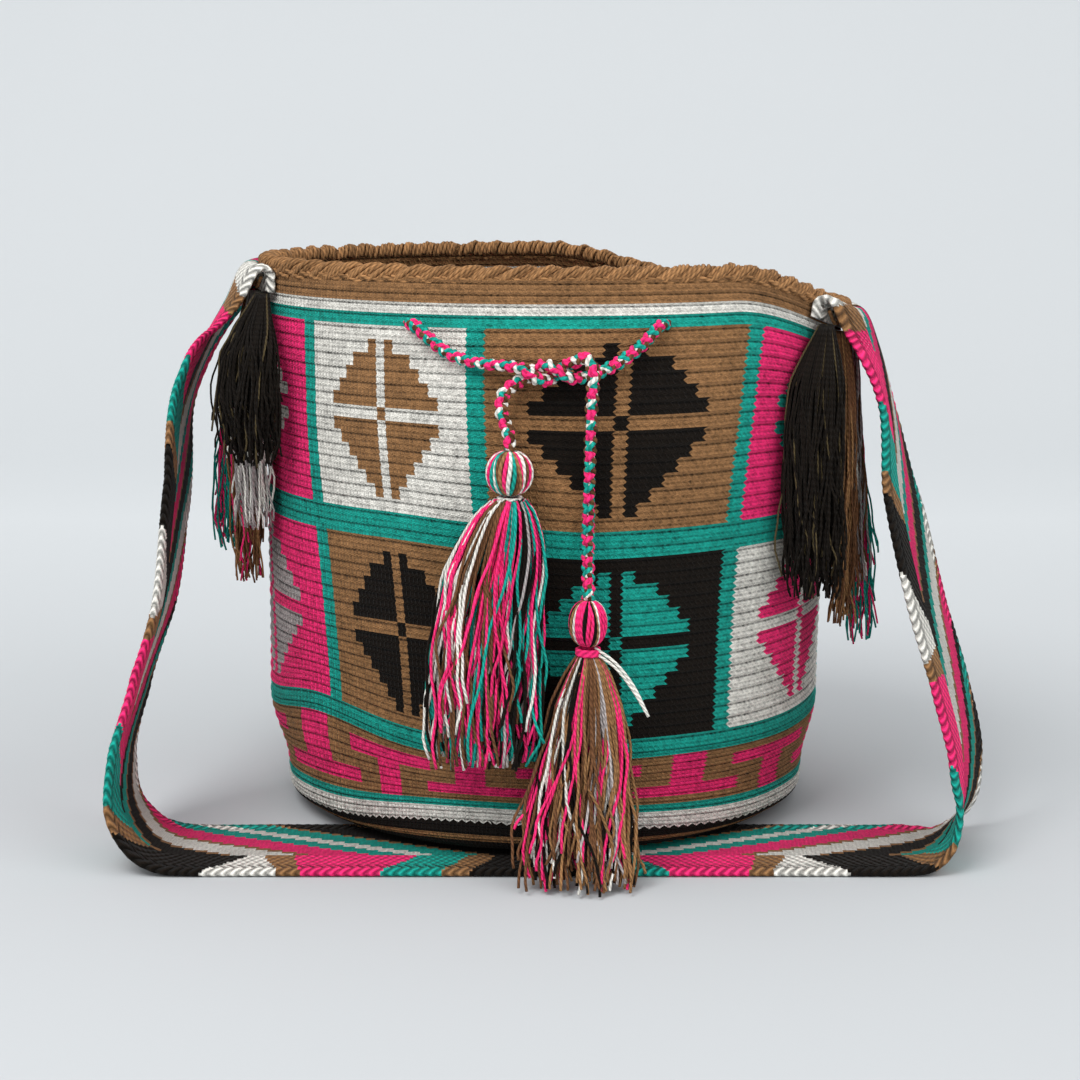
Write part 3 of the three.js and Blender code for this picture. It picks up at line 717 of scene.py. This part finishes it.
def make_strap(finish):
    across = np.concatenate([STRAP_ACROSS, STRAP_WIDTH - STRAP_ACROSS[-2::-1]])
    share = across * 2 / STRAP_WIDTH - 1
    path = Path([*over_rim(-1), *LEFT_RUN, *FLOOR_RUN, *RIGHT_RUN[::-1], *over_rim(1)[::-1]])
    sheets = []
    faces = []
    gone = []

    def sewn(side, down):
        turn = np.arcsin(share * STRAP_WIDTH / 2 / MOUTH_HALF_DEPTH)
        angle = END_ANGLE[side] + side * turn
        middle = bag_point(angle, BODY_HEIGHT - down, -(STRAP_SEAT + STRAP_THICK / 2))
        face = unit(bag_point(angle, BODY_HEIGHT - down, -6) - bag_point(angle, BODY_HEIGHT - down, -2))
        return middle, face

    for down in np.arange(SEWN_TOP + SEWN_HIGH, SEWN_TOP, -1.4):
        middle, face = sewn(-1, down)
        sheets.append(middle)
        faces.append(face)
        gone.append(-(down - SEWN_TOP))
    ends = {side: sewn(side, SEWN_TOP) for side in (-1, 1)}
    offsets = {side: ends[side][0] - ends[side][0][len(share) // 2] for side in (-1, 1)}
    for distance in np.arange(0, path.length, 1.4):
        t = distance / path.length
        end = min(t, 1 - t)
        side = -1 if t < 0.5 else 1
        centre = path.at(distance)
        tangent = path.tangent(distance)
        turned = smooth(0.03, 0.12, end) * (1 - smooth(0.26, 0.33, end)) if t > 0.5 else 0
        end_turn = END_ANGLE[side] - side * math.pi / 2
        at_end = 1 - smooth(0.02, 0.1, end)
        turn = math.radians(STRAP_RIGHT_TURN) * turned - end_turn * at_end
        width = np.array([math.sin(turn), math.cos(turn), 0])
        width = unit(width - width.dot(tangent) * tangent)
        face = unit(np.cross(tangent, width))
        flat = width * share[:, None] * STRAP_WIDTH / 2
        points = centre + flat + (offsets[side] - flat) * (1 - smooth(0.012, 0.08, end))
        sheets.append(points)
        faces.append(np.broadcast_to(face, points.shape))
        gone.append(distance)
    for down in np.arange(SEWN_TOP, SEWN_TOP + SEWN_HIGH + 0.1, 1.4):
        middle, face = sewn(1, down)
        sheets.append(middle)
        faces.append(face)
        gone.append(path.length + down - SEWN_TOP)
    sheets, faces, gone = np.array(sheets), np.array(faces), np.array(gone)
    floor = sheets[:, len(share) // 2]
    middle_row = np.argmin(np.abs(floor[:, 0] + 9.5) + 10 * (floor[:, 2] > 3))
    out = gone - gone[middle_row]
    edge = np.minimum(across, STRAP_WIDTH - across)
    body = np.sqrt(1 - (1 - np.clip(edge / 2.4, 0, 1)) ** 2) * 1.35
    plait = np.exp(-((edge - 4.7) / 3.4) ** 2)
    knots = 0.5 + 0.5 * np.cos(2 * np.pi * (out[:, None] / 4.5 + np.abs(edge - 4.7)[None] / 5.5))
    thick = body[None] + plait[None] * (0.05 + 0.8 * knots) * np.minimum(1, edge / 2.4)[None]
    columns = 2 * (len(across) - 1)
    loop = np.concatenate([np.arange(len(across)), np.arange(len(across) - 2, 0, -1), [0]])
    face_side = np.where(np.arange(columns + 1) < len(across), 1.0, -1.0)

    def place(column, row):
        spot = loop[column]
        points = sheets[row, spot] + faces[row, spot] * (thick[row, spot] * face_side[column])[:, None]
        points[:, 2] = np.maximum(points[:, 2], 0.02)
        return points

    def dye(column, row):
        first, second = loop[column], loop[column + 1]
        middle = (across[first] + across[second]) / 2
        far = np.abs((out[row] + out[np.minimum(row + 1, len(out) - 1)]) / 2)
        return np.array([strap_dye(a, b) for a, b in zip(far, middle)])

    mesh = woven_mesh("braided_strap", columns, len(gone) - 1, place, dye, closed=False)
    layer = mesh.uv_layers["UVMap"]
    uv = np.empty(len(mesh.loops) * 2)
    layer.data.foreach_get("uv", uv)
    uv = np.rint(uv.reshape(-1, 2)).astype(int)
    spots = np.stack([out[uv[:, 1]], across[loop[uv[:, 0]]]], axis=-1)
    layer.data.foreach_set("uv", spots.ravel())
    shape = bmesh.new()
    shape.from_mesh(mesh)
    bmesh.ops.edgeloop_fill(shape, edges=[e for e in shape.edges if e.is_boundary])
    bmesh.ops.recalc_face_normals(shape, faces=shape.faces)
    shape.to_mesh(mesh)
    shape.free()
    return new_piece("braided_strap", mesh, finish, "braid_mixed", "strap")


# The drawstring: a round braid of four strands.
EYELETS = ((-28, 1), (22, -1), (112, 1), (156, -1), (-156, 1), (-112, -1))
CORD_CLEAR = CORD_DIAMETER / 2 + GAP + 0.4
INSIDE_CLEAR = WALL_THICK + CORD_CLEAR
THROUGH_REACH = (WALL_THICK / 2 + CORD_CLEAR) / math.cos(EYELET_SLANT)
END_REACH = (WALL_THICK / 2 + 1.3) / math.cos(EYELET_SLANT)
CORD_DYES = (PINK, PINK, TEAL, CREAM, PINK, BROWN, TEAL, BROWN * 0.6)


def eyelet_point(eyelet, out):
    degrees, side = EYELETS[eyelet]
    angle = math.radians(degrees)
    outward = unit(bag_point(angle, EYELET_HEIGHT) - bag_point(angle, EYELET_HEIGHT, WALL_THICK))
    along = unit(bag_point(angle + 0.01, EYELET_HEIGHT) - bag_point(angle - 0.01, EYELET_HEIGHT))
    line = outward * math.cos(EYELET_SLANT) + along * math.sin(EYELET_SLANT) * side
    return bag_point(angle, EYELET_HEIGHT, WALL_THICK / 2) + line * out


def held_run():
    points = [eyelet_point(0, END_REACH), eyelet_point(0, -THROUGH_REACH)]

    def through(eyelet, sign):
        points.extend(eyelet_point(eyelet, sign * share * THROUGH_REACH) for share in (-1, 0, 1))

    def arc(start, end, inset):
        steps = max(1, round(abs(end - start) / 12))
        for degrees in np.linspace(start, end, steps + 1):
            points.append(bag_point(math.radians(degrees), EYELET_HEIGHT, inset))

    arc(-28 - 11, -112 + 11, INSIDE_CLEAR)
    through(5, 1)
    arc(-112 - 11, -156 + 11, -CORD_CLEAR)
    through(4, -1)
    arc(-156 - 11, 156 - 360 + 11, INSIDE_CLEAR)
    through(3, 1)
    arc(156 - 360 - 11, 112 - 360 + 11, -CORD_CLEAR)
    through(2, -1)
    arc(112 - 360 - 11, 22 - 360 + 11, INSIDE_CLEAR)
    points.extend([eyelet_point(1, -THROUGH_REACH), eyelet_point(1, END_REACH)])
    return points


def free_start(eyelet):
    return [eyelet_point(eyelet, END_REACH + GAP), eyelet_point(eyelet, THROUGH_REACH + 1)]


def knot_points(phase):
    reach = (CORD_DIAMETER + GAP) / 2 + 0.25
    points = []
    for step in range(8):
        t = step / 7
        turn = phase + 2 * math.pi * t
        points.append([-13 + 26 * t, -135.2 + reach * math.cos(turn), 228 + 2 * t + reach * math.sin(turn)])
    return points


HANG_Y = -(BODY_RADIUS + CORD_DIAMETER / 2 + GAP + 0.6)
HEADS = {"left": (-16, HANG_Y - 5.5, 186, 10.4, 19.5), "right": (19, HANG_Y - 5.5, 118, 8.6, 21)}


def head_top(head):
    return head[2] + head[4] / 2 + GAP


def long_run():
    head = HEADS["right"]
    return [*free_start(0), [-43, -122, 236], [-28, -129.5, 232.5], *knot_points(math.pi / 2),
            [18, -139.5, 236], [21, -144, 230], [20.5, -144.5, 219], [20, HANG_Y - 0.6, 205],
            [19.5, HANG_Y, 180], [19, HANG_Y - 0.5, 158], [19, HANG_Y - 3.5, 142],
            [head[0], head[1], head_top(head) + 5], [head[0], head[1], head_top(head)]]


def short_run():
    head = HEADS["left"]
    return [*free_start(1), [41, -124, 238], [27, -130.5, 230], *knot_points(-math.pi / 2)[::-1],
            [-18.5, -138, 220], [-19.5, -142.5, 212], [-17, HANG_Y - 2.5, 205],
            [head[0], head[1], head_top(head) + 5], [head[0], head[1], head_top(head)]]


def braid_paths(line, step, pitch=9.5):
    """Four strands of two yarns that pass over and under each other round one line."""
    distance = np.linspace(0, line.length, max(8, int(line.length / step)))
    centre = line.at(distance)
    side, other = (axis[0] for axis in carried_frames(centre[None]))
    turn = 2 * np.pi * distance / pitch
    strands = []
    for way, phase in ((1, 0), (1, np.pi), (-1, np.pi / 2), (-1, 1.5 * np.pi)):
        reach = 1.25 + way * 0.4 * np.sin(2 * turn)
        angle = way * turn + phase
        for yarn in (0, np.pi):
            wind = 2 * np.pi * distance / 9 + yarn + phase
            x = reach * np.cos(angle) + 0.55 * np.cos(wind)
            y = reach * np.sin(angle) + 0.55 * np.sin(wind)
            strands.append(centre + x[:, None] * side + y[:, None] * other)
    return strands


def make_drawstring(finish):
    held = Path(held_run())
    mesh = yarn_mesh("drawstring_held", braid_paths(held, 1.2), 1.2, CORD_DYES, 6)
    new_piece("drawstring_held", mesh, finish, "cord_mixed", "drawstring_in_rim")
    ends = {}
    for name, run in (("long", long_run()), ("short", short_run())):
        line = Path(run)
        mesh = yarn_mesh("drawstring_" + name, braid_paths(line, 0.7), 1.2, CORD_DYES, 7)
        piece = new_piece("drawstring_" + name, mesh, finish, "cord_mixed", "drawstring_end_" + name)
        ends[name] = (piece, line)
    return ends


# Tassels.
def make_head(name, head, dyes, finish):
    """A ball of yarn wound from pole to pole over a filled core."""
    x, y, z, radius, high = head
    count = 38
    t = np.linspace(-1.48, 1.48, 19)
    chance = random.Random(len(name) * 31)
    paths = []
    colours = []
    for k in range(count):
        turn = 2 * np.pi * k / count + 0.10 * np.sin(1.5 * t + k) - np.pi / 2
        reach = np.cos(t) ** 0.75 * (radius - 0.75) + 0.25 * chance.uniform(-1, 1)
        paths.append(np.stack([x + reach * np.cos(turn), y + reach * np.sin(turn),
                               z + np.sin(t) * (high / 2 - 0.6)], axis=-1))
        colours.append(dyes[k % len(dyes)])
    mesh = yarn_mesh("tassel_head_yarn_" + name, paths, 0.93 * radius / 10.4 + 0.05, colours, 6)
    shape = bmesh.new()
    shape.from_mesh(mesh)
    layer = shape.verts.layers.float_color["dye"]
    made = bmesh.ops.create_uvsphere(shape, u_segments=20, v_segments=12, radius=1)
    for v in made["verts"]:
        v[layer] = (*(BROWN * 0.6), 1)
        reach = (radius - 0.9) * MM
        v.co = (v.co.x * reach + x * MM, v.co.y * reach + y * MM, (v.co.z * (high / 2 - 0.8) + z) * MM)
    shape.to_mesh(mesh)
    shape.free()
    return new_piece("tassel_head_yarn_" + name, mesh, finish, "yarn_mixed", "tassel_head_" + name)


def neck_top(head):
    return head[2] - head[4] / 2 - GAP


def make_neck(name, head, dye, finish):
    """The yarn wound round the neck."""
    x, y = head[:2]
    z = neck_top(head)
    t = np.linspace(0, 1, 96)
    turn = 2 * np.pi * 3 * t
    wound = np.stack([x + 4.8 * np.cos(turn), y + 4.8 * np.sin(turn), z - 0.9 - 2.4 * t], axis=-1)
    mesh = yarn_mesh("tassel_binding_" + name, [wound], 1.0, [dye], 7)
    return new_piece("tassel_binding_" + name, mesh, finish, "yarn_mixed", "tassel_neck_" + name)


SKIRT_STEPS = 24


def bundle_paths(stations, count, seed, mixture, locks=(), wave=2.2, short=0.75,
                 steps=SKIRT_STEPS):
    """Yarn ends that fall through level ellipses, each with its own waves, length and colour."""
    chance = random.Random(seed)
    table = np.array(stations, float)
    gone = np.concatenate([[0], np.cumsum(np.linalg.norm(np.diff(table[:, :3], axis=0), axis=1))])
    colours, weights = zip(*mixture)
    locks = locks or chance.choices(colours, weights, k=26)
    paths = []
    dyes = []
    for k in range(count):
        stray = k % 17 == 0
        reach = chance.uniform(0.05, 1) ** 0.5 * (1.12 if stray else 1)
        turn = 2 * math.pi * (k + chance.uniform(0, 1)) / count
        length = gone[-1] * (1 - (1 - short) * chance.uniform(0, 1) ** 1.5)
        t = np.linspace(0, 1, steps + 1)
        x, y, z, wide, deep = (np.interp(t * length, gone, table[:, axis]) for axis in range(5))
        turns = turn + smooth(0.1, 1.0, t) * chance.uniform(-0.8, 0.8)
        free = smooth(0.06, 0.7, t)
        path = np.stack([x + (wide - 0.7) * reach * np.cos(turns),
                         y + (deep - 0.7) * reach * np.sin(turns), z], axis=-1)
        for axis, size in ((0, wave), (1, wave * 0.5)):
            size = size * (2 if stray else 1)
            for k_wave, span in ((1, 95), (0.45, 43), (0.16, 21)):
                path[:, axis] += (free * size * k_wave * chance.uniform(0.2, 1)
                                  * np.sin(2 * np.pi * (t * length / span + chance.uniform(0, 1))))
        curl = smooth(0.86, 1.0, t) * chance.uniform(-3.5, 3.5)
        path[:, 0] += curl
        path[:, 2] = np.maximum(path[:, 2] + np.abs(curl) * 0.4, 0.9)
        paths.append(path)
        colour = chance.choices(colours, weights)[0]
        if chance.random() < 0.5:
            colour = locks[int(turn / (2 * math.pi) * len(locks)) % len(locks)]
        dyes.append(colour * chance.uniform(0.8, 1.15))
    return paths, dyes


def skirt_stations(name):
    head = HEADS[name]
    top = neck_top(head) - 6 - GAP
    if name == "left":
        return [(head[0], head[1], top + 1, 4.6, 4.6), (head[0], head[1], top + 5.0, 6.8, 6.2),
                (head[0] - 0.5, head[1] - 0.8, top + 3.4, 10.5, 8), (-18, -149.5, top - 3, 15, 8.8),
                (-20, -150.3, top - 14, 20, 9.4), (-23, -151, top - 28, 24, 10),
                (-26, -151.3, 118, 26.5, 10.3), (-27, -151.5, 95, 27.5, 10.5),
                (-28, -151.5, 64, 27, 10), (-28, -151.5, 52, 24, 8)]
    return [(head[0], head[1], top + 2.4, 5.4, 5.2), (19, -149.5, top - 4, 10, 7.4),
            (18, -151, top - 20, 17, 8.8), (17, -153.5, 58, 21.5, 9.5), (15, -159, 30, 25, 10.5),
            (14.5, -167, 11, 26.5, 9.5), (14.5, -172, 1.5, 26, 11)]


HEAD_DYES = {"left": (CREAM, TEAL, BROWN, TAN, PINK, CREAM, BROWN, PINK, CREAM, PINK, TEAL),
             "right": (PINK, PINK, DARK, TAN, CREAM, PINK, PINK)}
SKIRT_MIX = {"left": ((TEAL, 2.4), (CREAM, 2.6), (DARK, 3), (PINK, 3), (GREY, 1.6), (BROWN, 2)),
             "right": ((BROWN, 3), (DARK, 2.4), (CREAM, 1.6), (GREY, 0.8), (PINK, 1.8), (TAN, 2.6),
                       (TEAL, 0.1))}


# The colours round each skirt, from its right side by the back to the left side and the front.
SKIRT_LOCKS = {"left": (PINK, TEAL, DARK, BROWN, CREAM, PINK, CREAM, TEAL, DARK, CREAM, PINK, CREAM, BROWN,
                        PINK, TEAL, DARK, PINK, DARK),
               "right": (CREAM, TAN, BROWN, TAN, DARK, BROWN, TAN, PINK, PINK, DARK, PINK, CREAM, BROWN, DARK,
                         TAN, BROWN, GREY, TAN, CREAM, TAN)}


def make_tassel(name, yarn):
    head = HEADS[name]
    ball = make_head(name, head, HEAD_DYES[name], yarn)
    neck = make_neck(name, head, PINK if name == "right" else CREAM, yarn)
    paths, dyes = bundle_paths(skirt_stations(name), 300, 11 if name == "left" else 12, SKIRT_MIX[name],
                               SKIRT_LOCKS[name])
    if name == "right":
        for lift in (0, 2.2):
            stray = Path(((22, -150, 105 + lift), (31, -153.5, 99 + lift), (39, -155, 89 + lift),
                          (46, -156, 77)))
            paths.append(stray.at(np.linspace(0, stray.length, SKIRT_STEPS + 1)))
            dyes.append(CREAM)
    mesh = yarn_mesh("tassel_yarn_" + name, paths, 0.7, dyes, 5)
    new_piece("tassel_yarn_" + name, mesh, yarn, "yarn_mixed", "tassel_skirt_" + name)
    return ball, neck


# The yarn ends of the strap.
FRINGES = {
    # The olive strands in the dark bundles are painted highlights.
    "left_dark": (-1, -0.82, ((DARK, 8), (OLIVE_HIGHLIGHT, 2)), 90, (
        (-1, -3, 0, 4, 5), (-3, -20, -13, 10, 7), (-4, -34, -26, 15, 8), (-4, -42, -48, 17, 8.5),
        (-3, -43, -66, 16, 8), (-3, -43, -78, 13, 6))),
    "left_grey": (-1, -0.45, ((GREY, 4), (CREAM, 4)), 46, (
        (-1, 0, 0, 4, 5), (-2, -14, -20, 6, 7), (-2, -27, -44, 7.5, 8), (-1, -35, -74, 9, 9),
        (0, -38, -100, 9, 8), (0, -38, -111, 7, 6))),
    "left_brown": (-1, -0.05, ((BROWN, 6), (TAN, 3), (PINK, 1)), 46, (
        (-1, 0, 0, 4, 5), (-4, -9, -20, 6, 6.5), (-5, -21, -50, 7, 7), (-4, -29, -84, 8, 7.5),
        (-3, -34, -120, 8, 7.5), (-2, -36, -141, 6, 5))),
    "left_bright": (-1, 0.36, ((TEAL, 6), (PINK, 3)), 46, (
        (-1, 0, 0, 4, 5), (-7, -8, -22, 6, 6), (-11, -18, -50, 7, 7), (-14, -26, -84, 8, 7.5),
        (-15, -29, -114, 8.5, 8), (-15, -29, -129, 6.5, 6))),
    "right_dark": (1, -0.82, ((DARK, 8), (OLIVE_HIGHLIGHT, 1.6)), 110, (
        (1, -3, 0, 4, 5), (-2, -14, -12, 9, 7), (-5, -25, -26, 13.5, 8.5), (-7, -33, -50, 15, 9),
        (-7, -37, -82, 15, 9), (-6.5, -38, -112, 14, 8), (-6, -38, -126, 11, 6))),
    "right_brown": (1, -0.42, ((BROWN, 6), (TAN, 2)), 40, (
        (1, -1, -0.3, 4, 4.2), (2, -10, -16, 5, 5), (2, -20, -38, 5, 6), (1, -28, -66, 5.5, 7),
        (0.5, -33, -100, 6, 7.5), (0, -35, -138, 5, 5.5))),
    "right_grey": (1, -0.02, ((GREY, 5), (CREAM, 2), (BROWN, 2)), 40, (
        (1, 0, 0, 4, 4.5), (1.5, -8, -18, 4.5, 5), (1.5, -17, -42, 5, 6.5), (1.5, -25, -74, 6, 7),
        (2, -29, -102, 6, 7), (2.5, -30, -118, 5, 5.5))),
    "right_bright": (1, 0.38, ((PINK, 5), (TEAL, 4)), 46, (
        (1, 0, 0, 4, 4.5), (1.5, -3, -20, 4.5, 5), (2, -9, -48, 5.5, 6.5), (3, -17, -80, 7, 7.5),
        (5, -23, -114, 7.5, 8), (6, -26, -142, 7, 7), (6.5, -26.5, -152, 5, 5))),
}


def make_fringe(name, yarn):
    side, share, mixture, count, stations = FRINGES[name]
    turn = math.asin(share * STRAP_WIDTH / 2 / MOUTH_HALF_DEPTH)
    top = bag_point(END_ANGLE[side] + side * turn, BODY_HEIGHT - SEWN_TOP - SEWN_HIGH, -(STRAP_SEAT + 3.5))
    top[2] -= GAP + 0.55
    placed = [(top[0] + x, top[1] + y, top[2] + z, wide, deep) for x, y, z, wide, deep in stations]
    paths, dyes = bundle_paths(placed, int(count * 2.3), sum(map(ord, name)), mixture, (), 1.7, 0.66, 20)
    mesh = yarn_mesh("fringe_yarn_" + name, paths, 0.5, dyes, 5)
    return new_piece("fringe_yarn_" + name, mesh, yarn, "yarn_mixed", "fringe_" + name)


def make_seam(name, side, yarn):
    """The zigzag of sewing yarn that holds an end of the strap."""
    depth = STRAP_SEAT + STRAP_THICK + GAP + 0.4 + 0.9
    points = []
    for k in range(10):
        s = 0.8 * (2 * k / 9 - 1)
        turn = math.asin(s * STRAP_WIDTH / 2 / MOUTH_HALF_DEPTH)
        down = SEWN_TOP + 1.2 + (0 if k % 2 == 0 else 5)
        points.append(bag_point(END_ANGLE[side] + side * turn, BODY_HEIGHT - down, -depth))
    line = Path(points)
    mesh = yarn_mesh("seam_yarn_" + name, [line.at(np.linspace(0, line.length, 90))], 0.9, [TAN], 6)
    return new_piece("seam_yarn_" + name, mesh, yarn, "yarn_tan", "strap_seam_" + name)


# The stage: a pale floor that curves up into a backdrop, and soft light.
def make_stage():
    shape = bmesh.new()
    bmesh.ops.create_grid(shape, x_segments=2, y_segments=40, size=0.5)
    for v in shape.verts:
        t = v.co.y + 0.5
        x = v.co.x * 8
        run = t * 7 - 2
        if run < 1.2:
            y, z = run, 0.0
        elif run < 1.2 + math.pi / 2:
            bend = run - 1.2
            y, z = 1.2 + math.sin(bend), 1 - math.cos(bend)
        else:
            y, z = 2.2, 1 + run - 1.2 - math.pi / 2
        v.co = (x, y, z)
    mesh = bpy.data.meshes.new("stage")
    shape.to_mesh(mesh)
    shape.free()
    mesh.polygons.foreach_set("use_smooth", [True] * len(mesh.polygons))
    look = Finish("stage_paper", roughness=0.95, sheen=0)
    grain = look.noise(3.0, 1.0)
    place = look.node("ShaderNodeTexCoord", {}, {}, "Object")
    split = look.node("ShaderNodeSeparateXYZ", {}, {0: place}, 1)
    high = (split * 1.3 - 0.05).clip()
    floor = look.mix(grain, (0.545, 0.565, 0.58, 1), (0.553, 0.573, 0.588, 1))
    wall = look.mix(grain, (0.735, 0.76, 0.775, 1), (0.745, 0.77, 0.785, 1))
    look.join(look.shader.inputs["Base Color"], look.mix(high, floor, wall))
    mesh.materials.append(look.material)
    floor = bpy.data.objects.new("stage", mesh)
    bpy.context.scene.collection.objects.link(floor)


def area_light(name, place, turn, size, power):
    lamp = bpy.data.lights.new(name, "AREA")
    lamp.size = size
    lamp.energy = power
    light = bpy.data.objects.new(name, lamp)
    light.location = place
    light.rotation_euler = [math.radians(a) for a in turn]
    bpy.context.scene.collection.objects.link(light)


def make_light():
    world = bpy.data.worlds.new("studio")
    world.use_nodes = True
    background = world.node_tree.nodes["Background"]
    background.inputs["Color"].default_value = (0.98, 0.99, 1.0, 1)
    background.inputs["Strength"].default_value = 0.85
    bpy.context.scene.world = world
    area_light("key", (-0.7, -1.1, 1.7), (36, 0, -32), 1.0, 22)
    area_light("fill", (1.2, -1.1, 1.0), (60, 0, 48), 1.4, 7)
    bpy.context.scene.view_settings.view_transform = "Standard"


add_camera()
yarn_look = yarn_finish("plied_yarn")
cord_look = yarn_finish("cord_strands", 2.6, 2, 0.6)
edging_look = yarn_finish("edging_yarn", 3.4, 2, 0.6)
ends = make_drawstring(cord_look)
for name, end in (("left", "short"), ("right", "long")):
    ball, neck = make_tassel(name, yarn_look)
    piece, line = ends[end]
    route = line.at(np.linspace(0, line.length, 120)) * MM
make_wall(crochet_finish("crochet_stitches"))
make_edging(edging_look)
make_strap(strap_finish("braided_strap_yarn"))
for name in FRINGES:
    make_fringe(name, yarn_look)
make_seam("left", -1, yarn_look)
make_seam("right", 1, yarn_look)
make_stage()
make_light()
